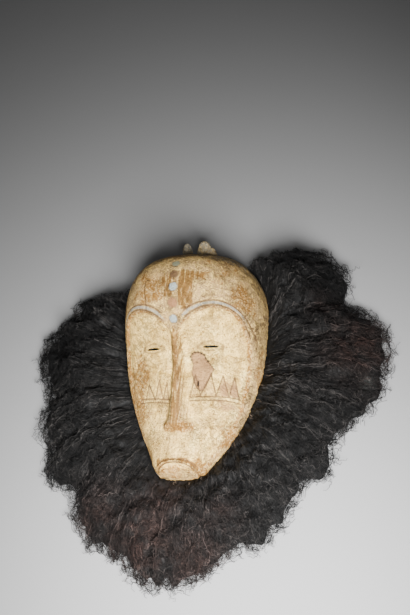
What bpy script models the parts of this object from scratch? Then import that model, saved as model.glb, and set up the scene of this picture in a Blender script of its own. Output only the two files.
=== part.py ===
"""Carved wooden spirit mask with a raffia fringe, lying face up on its rim.

The mask is a hollow half spindle: a domed forehead, a heart-shaped face cut back under two brow
arches, a long nose, slit eyes, a down-turned mouth close to a blunt chin, and two knobs at the crown.
Fifteen hanks of raffia are tied round the rim and spread on the ground; the crown has none.
+Z points up out of the face, +Y towards the crown, +X to the right of someone facing the mask.
"""
import math

import bmesh
import bpy
import numpy as np
from mathutils import Euler, Matrix, Vector

# Mask body, in metres. Y runs from the chin (-) to the crown (+).
HALF_LENGTH = 0.275
RIM_LIFT = 0.003            # the widest section stands this far above the ground
SECTION_POWER = 2.3         # superellipse power of a cross section
WALL = 0.017                # wall between the hollow and the uncut outer form
UNDER_BELLY = 0.012         # depth of the form under the rim line, cut off at the ground
WIDTH_STATIONS = np.array([(-0.275, 0.052), (-0.25, 0.065), (-0.16, 0.1155),
                           (-0.04, 0.1555), (0.08, 0.162), (0.275, 0.162)])
HEIGHT_STATIONS = np.array([(-0.275, 0.061), (-0.20, 0.068), (-0.15, 0.075), (-0.10, 0.086),
                            (-0.05, 0.101), (0.0, 0.136), (0.05, 0.193), (0.09, 0.212),
                            (0.17, 0.212), (0.235, 0.150), (0.275, 0.116)])
SWAY_STATIONS = np.array([(-0.275, -0.006), (-0.25, -0.002), (-0.20, 0.004), (-0.14, 0.004),
                          (-0.05, 0.0), (0.275, 0.0)])     # its middle, which the carver left uneven
CHIN_CLOSE, CHIN_POWER = 0.035, 3.1      # length and power of the blunt chin end
CROWN_CLOSE, CROWN_POWER = 0.198, 2.07   # length and power of the round crown end

# Heart-shaped face, cut back into the spindle
CUSP_Y = -0.006                          # where the two brow arches meet on the nose
ARCH_PEAK = (0.105, 0.048)               # highest point of an arch, from the midline
ARCH_OUTER = (0.038, 0.068, 3.1)         # outer quarter of an arch: half axes and power
ARCH_INNER_POWER = 1.5
FACE_EDGE = (0.905, 0.955)               # face edge over half width, at the eyes and at the chin
FACE_STEP = 0.005                        # plan width of the step down from brow to face
FACE_CUT = (0.003, 0.007)                # depth of that step, at the cheeks and at the brows
CHEEK_DISH, CHEEK_REACH = 0.004, 0.045   # extra hollow, reached this far in from the edge
BROW_LINES = (0.004, 0.013)              # incised lines of the brow band, out from the face edge
BROW_CUT, BROW_LINE_WIDTH = 0.0015, 0.002
BROW_START = ((0.012, 0.022), (0.012, 0.030))   # where the band fades in: along Y, then off the midline
BROW_FADE = (-0.16, 0.0)                 # the step deepens between these Y values
CARVING_FADE = (-0.002, 0.008)           # the carving dies out at these heights, near the rim

# Nose, eyes and mouth
NOSE_RISE = np.array([(-0.19, 0.012), (-0.16, 0.014), (-0.09, 0.013), (-0.05, 0.011),
                      (0.0, 0.006), (0.04, 0.0)])
NOSE_FOOT = np.array([(-0.19, 0.034), (-0.178, 0.032), (-0.16, 0.027), (-0.13, 0.022),
                      (-0.09, 0.018), (-0.05, 0.015), (0.0, 0.012), (0.04, 0.010)])
NOSE_TOP = (0.0035, 0.008)               # half width of the ridge, at the bridge and at the tip
NOSE_END, NOSE_END_STEP, NOSE_ROOT = -0.187, 0.008, 0.04
NOSE_LEAN = np.array([(-0.275, 0.0), (-0.24, -0.003), (-0.18, -0.007), (-0.05, -0.008),
                      (0.0, -0.007), (0.06, 0.0)])       # how far it and the inner brows lean to one side
LEAN_FADE = (0.02, 0.10)                 # the lean dies out between these distances off the midline
NOSTRIL = (0.024, -0.176, 0.008, 0.005)  # place, width and rise of a nostril's wing
EYE = (0.0685, -0.0187)
EYE_SLIT = (0.034, 0.0036)
EYE_TILT = 5.0                           # degrees that the outer end of an eye is raised
PUNCH_DEPTH, PUNCH_SIDES = 0.09, 16      # the lens that cuts an eye slit through the wall
LID = (0.028, 0.012, 0.0015)             # half axes and rise of the swelling round an eye
MOUTH_TOP_Y = -0.256                     # the mouth arc at the midline
MOUTH_CORNER = (0.046, -0.268)
MOUTH_POWER = 2.2
MOUTH_FADE = (-0.004, 0.006)             # the lips die out round the corners between these offsets
MOUTH_UP = (0.6, 0.8)                    # direction across the lips, in Y and Z
LIP_RISE, LIP_WIDTH, LIP_UP = 0.0045, 0.0026, 0.0035
SLIT_CUT, SLIT_WIDTH = 0.0025, 0.0012
UNDERLIP_RISE, UNDERLIP_DOWN = 0.002, 0.0045

# Knobs at the crown: X, Y, Z of the middle, then the three radii
KNOBS = {"left": (-0.0215, 0.237, 0.104, 0.0120, 0.024, 0.0130),
         "right": (0.0205, 0.236, 0.104, 0.0175, 0.026, 0.0150),
         "right_shoulder": (0.0370, 0.226, 0.099, 0.0130, 0.022, 0.0110)}
KNOB_TILT = 28.0                         # degrees that a knob's long axis rises towards the crown

# Detail of the faceted mask: the form is worked out finely, then thinned to its budget
ROWS, COLUMNS, UNDER_COLUMNS = 170, 120, 10
MOUTH_ROWS = 3.0            # how much closer the rows lie round the mouth
MASK_KEEP = 0.14
HOLLOW_ROWS, HOLLOW_COLUMNS, HOLLOW_UNDER = 22, 20, 6
HOLLOW_NEAR, HOLLOW_LEAST, HOLLOW_BELLY = 0.011, 0.004, 0.03   # rows compared, least size, depth below

# Outline of the raffia fringe: how far it reaches at each bearing. Bearings are degrees from the mask's
# centre, counter-clockwise from +X.
FRINGE_REACH = np.array([(-222, 0.268), (-216, 0.298), (-210.5, 0.346), (-206, 0.372), (-202, 0.362),
                         (-197.5, 0.376), (-193, 0.398), (-188, 0.404), (-181, 0.400), (-171, 0.368),
                         (-165, 0.364), (-157, 0.394), (-148, 0.390), (-138, 0.422), (-129, 0.392),
                         (-121, 0.440), (-110, 0.460), (-103, 0.470), (-95, 0.500), (-84, 0.492),
                         (-73, 0.446), (-64, 0.454), (-55, 0.412), (-48, 0.391), (-39, 0.414),
                         (-32, 0.376), (-27, 0.380), (-19, 0.410), (-12, 0.424), (-3, 0.432),
                         (7, 0.428), (14, 0.398), (21.5, 0.352), (27, 0.384), (33, 0.394), (39, 0.390),
                         (44.5, 0.373), (49, 0.345), (53, 0.305), (57, 0.262)])

# Raffia hanks, counter-clockwise from the right of the crown. Each row holds the hank's two bearings and
# how thick it lies.
HANKS = ((21.5, 57, 0.100), (7, 21.5, 0.070), (-11, 7, 0.065), (-30, -11, 0.060), (-48, -30, 0.055),
         (-65, -48, 0.055), (-79, -65, 0.055), (-95, -79, 0.055), (-111, -95, 0.055), (-129, -111, 0.055),
         (-147, -129, 0.060), (-165, -147, 0.065), (-184, -165, 0.070), (-201, -184, 0.070),
         (-222, -201, 0.080))
HANK_GAP = 0.12             # degrees left clear on each side of a hank
HANK_RIM_GAP = 0.004        # clear of the mask's rim
HANK_STEPS = (5, 7)         # divisions across and along a hank
HANK_NOTCH, HANK_NOTCH_POWER = 0.02, 2.5   # how much shorter a hank's corners are than its middle
HANK_PROFILE = np.array([(0.0, 0.22), (0.12, 0.55), (0.30, 0.92), (0.5, 1.0), (0.75, 0.78), (1.0, 0.28)])
HANK_SHOULDER = 0.80        # thickness at a hank's sides over that at its middle
HANK_LUMP = 0.08            # rise and fall of its top, as a share of its thickness
HANK_LUMP_WAVES = (9.0, 2.6)  # waves of that along and across it
HANK_SHIFT = 1.7            # shift of the waves from one hank to the next

CREAM = (0.72, 0.62, 0.46, 1.0)
RAFFIA_BROWN = (0.028, 0.022, 0.020, 1.0)


def through(stations, x):
    """Cubic curve through the stations, each slope taken from its two neighbours."""
    at, value = stations[:, 0], stations[:, 1]
    slope = np.gradient(value, at)
    i = np.clip(np.searchsorted(at, x) - 1, 0, len(at) - 2)
    span = at[i + 1] - at[i]
    t = np.clip((x - at[i]) / span, 0.0, 1.0)
    start = (1 + 2 * t) * (1 - t) ** 2 * value[i] + t * (1 - t) ** 2 * span * slope[i]
    return start + t * t * (3 - 2 * t) * value[i + 1] + t * t * (t - 1) * span * slope[i + 1]


def smooth(low, high, x):
    """0 below low, 1 above high, and a smooth ramp between."""
    t = np.clip((x - low) / (high - low), 0.0, 1.0)
    return t * t * (3 - 2 * t)


def bump(distance, width):
    """Bell of height 1 and the given half width."""
    return np.exp(-(distance / width) ** 2)


def end_factor(y):
    """Closes the spindle: superelliptic ends, blunt at the chin and round at the crown."""
    chin = np.clip((y + HALF_LENGTH) / CHIN_CLOSE, 0.0, 1.0)
    crown = np.clip((HALF_LENGTH - y) / CROWN_CLOSE, 0.0, 1.0)
    chin_part = (1 - (1 - chin) ** CHIN_POWER) ** (1 / CHIN_POWER)
    return chin_part * (1 - (1 - crown) ** CROWN_POWER) ** (1 / CROWN_POWER)


def half_width(y):
    return through(WIDTH_STATIONS, y) * end_factor(y)


def height(y):
    return through(HEIGHT_STATIONS, y) * end_factor(y)


def sway(y):
    return through(SWAY_STATIONS, y)


def lean(y):
    """Sideways lean of the nose and the inner brows."""
    return through(NOSE_LEAN, y)


def even_rows(count, mouth_rows=1.0):
    """Y values evenly spaced along the spindle's outline in both views, or closer round the mouth."""
    y = -HALF_LENGTH * np.cos(np.linspace(0.0, math.pi, 6001))
    steps = np.sqrt(np.diff(y) ** 2 + np.diff(half_width(y)) ** 2 + np.diff(height(y)) ** 2)
    steps *= 1 + (mouth_rows - 1) * smooth(-0.225, -0.245, y[1:])
    run = np.concatenate([[0.0], np.cumsum(steps)])
    return np.interp(np.linspace(0.0, run[-1], count + 1), run, y)


def spindle_grid(y, width, rise, under, columns, under_columns):
    """Rings of a closed spindle: superellipse sections, with a shallow belly under the rim."""
    over = np.linspace(0.0, math.pi, columns + 1)
    below = np.linspace(math.pi, 2 * math.pi, under_columns + 1)[1:-1]
    angle = np.concatenate([over, below])
    power = 2 / SECTION_POWER
    across = np.sign(np.cos(angle)) * np.abs(np.cos(angle)) ** power
    up = np.sign(np.sin(angle)) * np.abs(np.sin(angle)) ** power
    tall = np.where(up > 0, rise[:, None], under)
    points = np.empty((len(y), len(angle), 3))
    points[..., 0] = width[:, None] * across
    points[..., 1] = y[:, None]
    points[..., 2] = RIM_LIFT + tall * up
    return points


def grid_normals(points):
    """Outward unit normals of a grid of rings, from its two families of tangents."""
    along = np.gradient(points, axis=0)
    around = (np.roll(points, -1, axis=1) - np.roll(points, 1, axis=1)) / 2
    normal = np.cross(around, along)
    normal /= np.maximum(np.linalg.norm(normal, axis=-1, keepdims=True), 1e-9)
    middle = normal[len(points) // 2, points.shape[1] // 4, 2]
    return normal if middle > 0 else -normal


def heart_outline():
    """Right half of the face's edge in plan: inner arch, outer arch, then down beside the cheek."""
    turn = np.linspace(0.0, math.pi / 2, 24)
    peak_x, peak_y = ARCH_PEAK
    inner = 2 / ARCH_INNER_POWER
    inner_x = peak_x * (1 - np.cos(turn) ** inner)
    inner_y = CUSP_Y + (peak_y - CUSP_Y) * np.sin(turn) ** inner
    reach, drop, power = ARCH_OUTER
    outer_x = peak_x + reach * np.sin(turn) ** (2 / power)
    outer_y = peak_y - drop + drop * np.cos(turn) ** (2 / power)
    side_y = np.linspace(peak_y - drop, MOUTH_CORNER[1], 40)[1:]
    share = FACE_EDGE[1] + (FACE_EDGE[0] - FACE_EDGE[1]) * smooth(-0.19, -0.02, side_y)
    side_x = share * half_width(side_y)
    side_x[-1] = MOUTH_CORNER[0]
    x = np.concatenate([inner_x, outer_x[1:], side_x])
    y = np.concatenate([inner_y, outer_y[1:], side_y])
    return np.stack([x, y], axis=-1)


def distance_to_line(points, line):
    """Distance from each point to a chain of straight pieces, in two or three dimensions."""
    best = np.full(len(points), np.inf)
    for start, end in zip(line[:-1], line[1:]):
        piece = end - start
        share = np.clip((points - start) @ piece / max(piece @ piece, 1e-12), 0.0, 1.0)
        gap = np.linalg.norm(points - start - share[:, None] * piece, axis=1)
        best = np.minimum(best, gap)
    return best


def inside_outline(points, line):
    """Even-odd test against the outline closed through the midline."""
    inside = np.zeros(len(points), bool)
    closed = np.concatenate([line, [(-0.01, line[-1, 1]), (-0.01, line[0, 1])], line[:1]])
    for (x0, y0), (x1, y1) in zip(closed[:-1], closed[1:]):
        if y0 == y1:
            continue
        crosses = (points[:, 1] > min(y0, y1)) & (points[:, 1] <= max(y0, y1))
        inside ^= crosses & (points[:, 0] < x0 + (points[:, 1] - y0) / (y1 - y0) * (x1 - x0))
    return inside


def top_over(x, y):
    """Height of the plain spindle over points in plan."""
    inner = 1 - np.minimum(np.abs(x) / half_width(y), 1.0) ** SECTION_POWER
    return RIM_LIFT + height(y) * inner ** (1 / SECTION_POWER)


def mouth_arc():
    """The mouth as a down-turned arc round the front of the chin, in three dimensions."""
    share = np.linspace(-1.0, 1.0, 41)
    fall = np.abs(share) ** MOUTH_POWER
    x = MOUTH_CORNER[0] * share
    y = MOUTH_TOP_Y + (MOUTH_CORNER[1] - MOUTH_TOP_Y) * fall
    return np.stack([x, y, top_over(x, y)], axis=-1)


def carving(points):
    """How far the carving stands out of the plain spindle (+) or is cut into it (-), at each point."""
    x, y, z = points.T
    x = x - lean(y) * (1 - smooth(*LEAN_FADE, np.abs(x)))
    side = np.abs(x)
    plan = np.stack([side, y], axis=-1)
    outline = heart_outline()
    gap = distance_to_line(plan, outline)
    face = inside_outline(plan, outline)
    into = np.where(face, gap, -gap)

    brows = smooth(*BROW_FADE, y)
    step = FACE_CUT[0] + (FACE_CUT[1] - FACE_CUT[0]) * brows
    cut = -step * smooth(-FACE_STEP / 2, FACE_STEP / 2, into)
    cut -= CHEEK_DISH * smooth(0.0, CHEEK_REACH, into)

    over_brow = smooth(*BROW_START[0], y) * smooth(*BROW_START[1], side)
    for line in BROW_LINES:
        cut -= BROW_CUT * over_brow * bump(into + line, BROW_LINE_WIDTH)

    along = smooth(0.0, NOSE_END, y)
    ridge = NOSE_TOP[0] + (NOSE_TOP[1] - NOSE_TOP[0]) * along
    foot = through(NOSE_FOOT, y)
    slope = np.clip((side - ridge) / (foot - ridge), 0.0, 1.0)
    nose = (1 - slope) * smooth(NOSE_END, NOSE_END + NOSE_END_STEP, y) * (y < NOSE_ROOT)
    cut = cut * (1 - nose) + nose * through(NOSE_RISE, y)
    wing_x, wing_y, wing_width, wing_rise = NOSTRIL
    cut += wing_rise * bump(np.hypot(side - wing_x, y - wing_y), wing_width)

    tilted = y - EYE[1] - math.tan(math.radians(EYE_TILT)) * (side - EYE[0])
    lid = np.hypot((side - EYE[0]) / LID[0], tilted / LID[1])
    cut += LID[2] * (1 - smooth(0.0, 1.0, lid))

    arc = mouth_arc()
    near = distance_to_line(points, arc)
    arc_height = np.interp(x, arc[:, 0], arc[:, 2])
    arc_y = np.interp(x, arc[:, 0], arc[:, 1])
    above = np.sign((y - arc_y) * MOUTH_UP[0] + (z - arc_height) * MOUTH_UP[1])
    up = near * above
    mouth = 1 - smooth(MOUTH_CORNER[0] + MOUTH_FADE[0], MOUTH_CORNER[0] + MOUTH_FADE[1], side)
    cut += mouth * LIP_RISE * bump(up - LIP_UP, LIP_WIDTH)
    cut -= mouth * SLIT_CUT * bump(up, SLIT_WIDTH)
    cut += mouth * UNDERLIP_RISE * bump(up + UNDERLIP_DOWN, LIP_WIDTH)
    return cut * smooth(*CARVING_FADE, z)


def closed_rings(points, name):
    """Mesh of a grid of rings whose first and last rings are closed by a pole each."""
    rings, size, _ = points.shape
    first, last = points[0].mean(axis=0), points[-1].mean(axis=0)
    places = np.concatenate([points[1:-1].reshape(-1, 3), [first, last]])
    index = np.arange((rings - 2) * size).reshape(rings - 2, size)
    right = np.roll(index, -1, axis=1)
    quads = np.stack([index[:-1], index[1:], right[1:], right[:-1]], axis=-1).reshape(-1, 4)
    low_pole, high_pole = index.size, index.size + 1
    low_fan = [(low_pole, a, b) for a, b in zip(index[0], right[0])]
    high_fan = [(high_pole, b, a) for a, b in zip(index[-1], right[-1])]
    mesh = bpy.data.meshes.new(name)
    mesh.from_pydata(places.tolist(), [], quads.tolist() + low_fan + high_fan)
    faces = bmesh.new()
    faces.from_mesh(mesh)
    bmesh.ops.recalc_face_normals(faces, faces=faces.faces)
    faces.to_mesh(mesh)
    faces.free()
    return mesh


def carved_form():
    """Outer form of the mask: the spindle moved along its normals by the carving."""
    y = even_rows(ROWS, MOUTH_ROWS)
    belly = UNDER_BELLY * end_factor(y)[:, None]
    points = spindle_grid(y, half_width(y), height(y), belly, COLUMNS, UNDER_COLUMNS)
    amount = carving(points.reshape(-1, 3)).reshape(points.shape[:2])
    points += grid_normals(points) * amount[..., None]
    points[..., 0] += sway(points[..., 1])
    return closed_rings(points, "mask")


def hollow_form():
    """Inside of the mask: the same spindle less the wall, open downwards past the ground."""
    lowest = HALF_LENGTH - WALL
    y = even_rows(HOLLOW_ROWS) * lowest / HALF_LENGTH
    around = y + np.array([-HOLLOW_NEAR, 0.0, HOLLOW_NEAR])[:, None]
    rise = np.maximum(height(around).min(axis=0) - WALL, HOLLOW_LEAST)
    width = np.maximum(half_width(around).min(axis=0) - WALL, HOLLOW_LEAST)
    points = spindle_grid(y, width, rise, HOLLOW_BELLY, HOLLOW_COLUMNS, HOLLOW_UNDER)
    points[..., 0] += sway(points[..., 1])
    return closed_rings(points, "hollow")


def normal_over(x, y):
    """Outward unit normal of the plain spindle over a point in plan."""
    step = 0.001
    beside = top_over(np.array([x + step, x - step, x, x]), np.array([y, y, y + step, y - step]))
    normal = Vector(((beside[1] - beside[0]) / (2 * step), (beside[3] - beside[2]) / (2 * step), 1.0))
    return normal.normalized()


def put(collection, name, mesh, material=None, parent=None):
    """New object from a mesh, in a collection, with its material and parent."""
    thing = bpy.data.objects.new(name, mesh)
    collection.objects.link(thing)
    thing.parent = parent
    if material:
        mesh.materials.append(material)
    return thing


def as_cutter(thing):
    thing.hide_render = True
    thing.display_type = "WIRE"
    return thing


def attach(thing, parent):
    thing.parent = parent
    return thing


def knob_form(cutters, side):
    """A carved knob at the crown, as an egg that is joined to the mask."""
    x, y, z, rx, ry, rz = KNOBS[side]
    bpy.ops.mesh.primitive_uv_sphere_add(segments=14, ring_count=9, radius=1.0, location=(x, y, z),
                                         rotation=(math.radians(KNOB_TILT), 0.0, 0.0), scale=(rx, ry, rz))
    knob = bpy.context.object
    knob.name = "knob_form_" + side
    move_to(knob, cutters)
    return as_cutter(knob)


def eye_form(cutters, side, sign):
    """A lens-shaped punch for an eye slit, along the mask's normal at the eye."""
    x, y = sign * EYE[0], EYE[1]
    top = top_over(np.array([x]), np.array([y]))[0]
    normal = normal_over(x, y)
    aim = Euler((-math.asin(normal.y), math.atan2(normal.x, normal.z), 0.0)).to_matrix()
    aim = aim @ Matrix.Rotation(sign * math.radians(EYE_TILT), 3, "Z")
    bpy.ops.mesh.primitive_cylinder_add(vertices=PUNCH_SIDES, radius=0.5, depth=PUNCH_DEPTH,
                                        location=(x, y, top), rotation=aim.to_euler(),
                                        scale=(EYE_SLIT[0], EYE_SLIT[1], 1.0))
    punch = bpy.context.object
    punch.name = "eye_form_" + side
    move_to(punch, cutters)
    return as_cutter(punch)


def ground_form(cutters):
    """A block under the ground plane, which trims the rim flat."""
    bpy.ops.mesh.primitive_cube_add(size=1.0, location=(0.0, 0.0, -0.1), scale=(1.0, 1.0, 0.2))
    block = bpy.context.object
    block.name = "ground_form"
    move_to(block, cutters)
    return as_cutter(block)


def move_to(thing, collection):
    for old in list(thing.users_collection):
        old.objects.unlink(thing)
    collection.objects.link(thing)


def boolean(thing, operation, other):
    step = thing.modifiers.new(operation.lower() + "_" + other.name, "BOOLEAN")
    step.operation = operation
    step.object = other
    step.solver = "EXACT"


def make_mask(parts, cutters, parent, material):
    """The carved wooden mask: outer form, knobs, hollow, eye slits and flat rim."""
    mask = put(parts, "mask", carved_form(), material, parent)
    mask.data.shade_smooth()
    thin = mask.modifiers.new("thin_to_budget", "DECIMATE")
    thin.decimate_type = "COLLAPSE"
    thin.ratio = MASK_KEEP
    for side in KNOBS:
        boolean(mask, "UNION", attach(knob_form(cutters, side), parent))
    hollow = as_cutter(put(cutters, "hollow_form", hollow_form(), None, parent))
    boolean(mask, "DIFFERENCE", hollow)
    for side, sign in (("left", -1.0), ("right", 1.0)):
        boolean(mask, "DIFFERENCE", attach(eye_form(cutters, side, sign), parent))
    boolean(mask, "DIFFERENCE", attach(ground_form(cutters), parent))
    return mask


def rim_reach(bearing):
    """Distance from the mask's centre to its rim along each bearing, in plan."""
    y = even_rows(400)
    x = np.concatenate([sway(y) + half_width(y), sway(y) - half_width(y)])
    y = np.concatenate([y, y])
    return np.interp(bearing, np.arctan2(y, x), np.hypot(x, y), period=2 * math.pi)


def hank_mesh(name, start, end, thick, lump):
    """A hank of raffia: a lumpy fan from the rim out to the fringe's outline, flat below."""
    across, along = HANK_STEPS
    share = np.linspace(-1.0, 1.0, across + 1)
    middle, half = (start + end) / 2, (end - start) / 2 - HANK_GAP
    degrees = (middle + half * share)[:, None]
    bearing = np.radians(degrees)
    run = np.linspace(0.0, 1.0, along + 1)[None, :]
    near = rim_reach(bearing) + HANK_RIM_GAP
    notch = HANK_NOTCH * np.abs(share) ** HANK_NOTCH_POWER
    far = through(FRINGE_REACH, degrees) * (1 - notch)[:, None]
    radius = near + (far - near) * run
    x, y = radius * np.cos(bearing), radius * np.sin(bearing)
    rounding = (HANK_SHOULDER + (1 - HANK_SHOULDER) * (1 - share ** 2))[:, None]
    waves_along, waves_across = HANK_LUMP_WAVES
    waves = np.sin(waves_along * run + lump) * np.cos(waves_across * share[:, None] + 2 * lump)
    lumps = 1 + HANK_LUMP * waves
    z = thick * rounding * through(HANK_PROFILE, run) * lumps
    top = np.stack([x, y, z], axis=-1).reshape(-1, 3)
    floor = top * (1.0, 1.0, 0.0)
    index = np.arange(top.shape[0]).reshape(across + 1, along + 1)
    quads = np.stack([index[:-1, :-1], index[:-1, 1:], index[1:, 1:], index[1:, :-1]], axis=-1).reshape(-1, 4)
    edge = np.concatenate([index[:, 0], index[-1, 1:], index[-2::-1, -1], index[0, -2:0:-1]])
    after = np.roll(edge, -1)
    low = edge + len(top)
    walls = np.stack([edge, after, after + len(top), low], axis=-1)
    faces = quads.tolist() + walls.tolist() + [low.tolist()]
    mesh = bpy.data.meshes.new(name)
    mesh.from_pydata(np.concatenate([top, floor]).tolist(), [], faces)
    shape = bmesh.new()
    shape.from_mesh(mesh)
    loose = [v for v in shape.verts if not v.link_faces]
    bmesh.ops.delete(shape, geom=loose, context="VERTS")
    bmesh.ops.recalc_face_normals(shape, faces=shape.faces)
    shape.to_mesh(mesh)
    shape.free()
    return mesh


def make_fringe(parts, parent, material):
    """The raffia hanks, one object each, numbered counter-clockwise from the right of the crown."""
    for number, (start, end, thick) in enumerate(HANKS, start=1):
        name = "raffia_hank_%02d" % number
        mesh = hank_mesh(name, start, end, thick, lump=HANK_SHIFT * number)
        put(parts, name, mesh, material, parent)


def finish(name, colour, roughness):
    """A Principled material of one colour."""
    material = bpy.data.materials.new(name)
    material.use_nodes = True
    shader = material.node_tree.nodes["Principled BSDF"]
    shader.inputs["Base Color"].default_value = colour
    shader.inputs["Roughness"].default_value = roughness
    shader.inputs["Metallic"].default_value = 0.0
    return material


def centre_on_ground(parts, frame):
    """Moves the frame so that the whole part's box stands centred on the origin."""
    bpy.context.view_layer.update()
    graph = bpy.context.evaluated_depsgraph_get()
    corners = []
    for thing in parts.objects:
        if thing.type == "MESH":
            shape = thing.evaluated_get(graph)
            corners += [shape.matrix_world @ v.co for v in shape.data.vertices]
    places = np.array([tuple(c) for c in corners])
    middle = (places.min(axis=0) + places.max(axis=0)) / 2
    frame.location = (-middle[0], -middle[1], 0.0)


def main():
    for thing in list(bpy.data.objects):
        bpy.data.objects.remove(thing, do_unlink=True)
    parts = bpy.data.collections.new("fang_ngil_mask")
    cutters = bpy.data.collections.new("cutters")
    for collection in (parts, cutters):
        bpy.context.scene.collection.children.link(collection)
    frame = bpy.data.objects.new("mask_frame", None)
    parts.objects.link(frame)
    make_mask(parts, cutters, frame, finish("whitened_wood", CREAM, 0.8))
    make_fringe(parts, frame, finish("dyed_raffia", RAFFIA_BROWN, 0.75))
    centre_on_ground(parts, frame)


main()
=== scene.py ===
"""Looks of a fang ngil mask: carved and whitened wood with a frizzy raffia fringe, lying face up.

Everything is in metres. The mask's own frame has its origin on the ground under the middle of the carved
wood, +Y towards the crown, +X to the right of someone facing it and +Z out of the face. Points in plan are
(x, y) in that frame, and bearings are degrees counter-clockwise from +X.
"""
import math

import bmesh
import bpy
import numpy as np
from bpy.props import FloatProperty, FloatVectorProperty, IntProperty, PointerProperty
from mathutils import Matrix, Vector


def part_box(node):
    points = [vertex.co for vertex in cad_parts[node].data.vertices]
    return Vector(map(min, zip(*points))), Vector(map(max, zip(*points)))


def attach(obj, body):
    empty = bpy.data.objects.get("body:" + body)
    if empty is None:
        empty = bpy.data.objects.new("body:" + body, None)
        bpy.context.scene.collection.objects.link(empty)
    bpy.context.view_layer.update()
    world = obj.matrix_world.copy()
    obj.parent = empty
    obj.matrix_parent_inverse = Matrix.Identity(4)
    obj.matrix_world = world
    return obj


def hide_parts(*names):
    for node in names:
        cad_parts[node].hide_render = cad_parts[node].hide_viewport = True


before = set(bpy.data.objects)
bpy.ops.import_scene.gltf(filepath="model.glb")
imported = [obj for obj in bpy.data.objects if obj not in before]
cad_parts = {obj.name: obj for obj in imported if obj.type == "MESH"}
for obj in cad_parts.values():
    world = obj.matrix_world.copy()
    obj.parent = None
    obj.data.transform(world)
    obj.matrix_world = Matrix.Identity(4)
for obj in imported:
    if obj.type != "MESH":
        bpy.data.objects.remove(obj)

bl_info = {
    "name": "Fang ngil mask",
    "version": (1, 0, 0),
    "blender": (4, 5, 0),
    "location": "View3D > Sidebar > Ngil mask",
    "description": "Carved and whitened wooden mask with a raffia fringe, on a pale floor",
    "category": "Add Mesh",
}

def linear(*srgb):
    """Linear colour from 8-bit sRGB numbers."""
    share = [value / 255 for value in srgb]
    return tuple(s / 12.92 if s <= 0.04045 else ((s + 0.055) / 1.055) ** 2.4 for s in share)


# Form of the wood, as the solid has it
HALF_LENGTH = 0.275
RIM_LIFT = 0.003
RIM_TUCK = 0.982            # width at the ground over the widest, a little above it
SECTION_POWER = 2.3
WALL = 0.017
WIDTH_STATIONS = np.array([(-0.275, 0.052), (-0.25, 0.065), (-0.16, 0.1155),
                           (-0.04, 0.1555), (0.08, 0.162), (0.275, 0.162)])
HEIGHT_STATIONS = np.array([(-0.275, 0.061), (-0.20, 0.068), (-0.15, 0.075), (-0.10, 0.086),
                            (-0.05, 0.101), (0.0, 0.136), (0.05, 0.193), (0.09, 0.212),
                            (0.17, 0.212), (0.235, 0.150), (0.275, 0.116)])
SWAY_STATIONS = np.array([(-0.275, -0.006), (-0.25, -0.002), (-0.20, 0.004), (-0.14, 0.004),
                          (-0.05, 0.0), (0.275, 0.0)])
CHIN_CLOSE, CHIN_POWER = 0.035, 3.1
CROWN_CLOSE, CROWN_POWER = 0.198, 2.07

# Heart-shaped face
CUSP_Y = -0.006
ARCH_PEAK = (0.105, 0.048)
ARCH_OUTER = (0.038, 0.068, 3.1)
ARCH_INNER_POWER = 1.5
FACE_EDGE = (0.905, 0.955)
FACE_STEP = 0.005
FACE_CUT = (0.003, 0.007)
CHEEK_DISH, CHEEK_REACH = 0.004, 0.045
BROW_LINES = (0.004, 0.013)
BROW_CUT, BROW_LINE_WIDTH = 0.0015, 0.0017
BROW_START = ((0.012, 0.022), (0.012, 0.030))
BROW_FADE = (-0.16, 0.0)
CARVING_FADE = (-0.002, 0.008)

# Nose, eyes and mouth
NOSE_RISE = np.array([(-0.19, 0.012), (-0.16, 0.014), (-0.09, 0.013), (-0.05, 0.011),
                      (0.0, 0.006), (0.04, 0.0)])
NOSE_FOOT = np.array([(-0.19, 0.034), (-0.178, 0.032), (-0.16, 0.027), (-0.13, 0.022),
                      (-0.09, 0.018), (-0.05, 0.015), (0.0, 0.012), (0.04, 0.010)])
NOSE_TOP = (0.0035, 0.008)
NOSE_END, NOSE_END_STEP, NOSE_ROOT = -0.187, 0.008, 0.04
NOSE_LEAN = np.array([(-0.275, 0.0), (-0.24, -0.003), (-0.18, -0.007), (-0.05, -0.008),
                      (0.0, -0.007), (0.06, 0.0)])
LEAN_FADE = (0.02, 0.10)
NOSTRIL = (0.024, -0.176, 0.008, 0.005)
EYE = (0.0685, -0.0187)
EYE_SLIT = (0.036, 0.0040)
EYE_TILT = 5.0
LID = (0.028, 0.012, 0.0015)
MOUTH_TOP_Y = -0.256
MOUTH_CORNER = (0.046, -0.268)
MOUTH_POWER = 2.2
MOUTH_FADE = (-0.004, 0.006)
MOUTH_UP = (0.6, 0.8)
LIP_RISE, LIP_WIDTH, LIP_UP = 0.0045, 0.0026, 0.0035
SLIT_CUT, SLIT_WIDTH = 0.0025, 0.0012
UNDERLIP_RISE, UNDERLIP_DOWN = 0.002, 0.0045
KNOBS = ((-0.0215, 0.237, 0.104, 0.0120, 0.024, 0.0130), (0.0205, 0.236, 0.104, 0.0175, 0.026, 0.0150),
         (0.0370, 0.226, 0.099, 0.0130, 0.022, 0.0110))
KNOB_TILT, KNOB_FOOT = 28.0, 0.5     # tilt in degrees, and how long a knob's half in the wall is over its other
LEFT_KNOB_BLUE, KNOB_BLUE = 1.00, 0.75   # shares of blue-grey paint on the first knob and on the others

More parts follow.
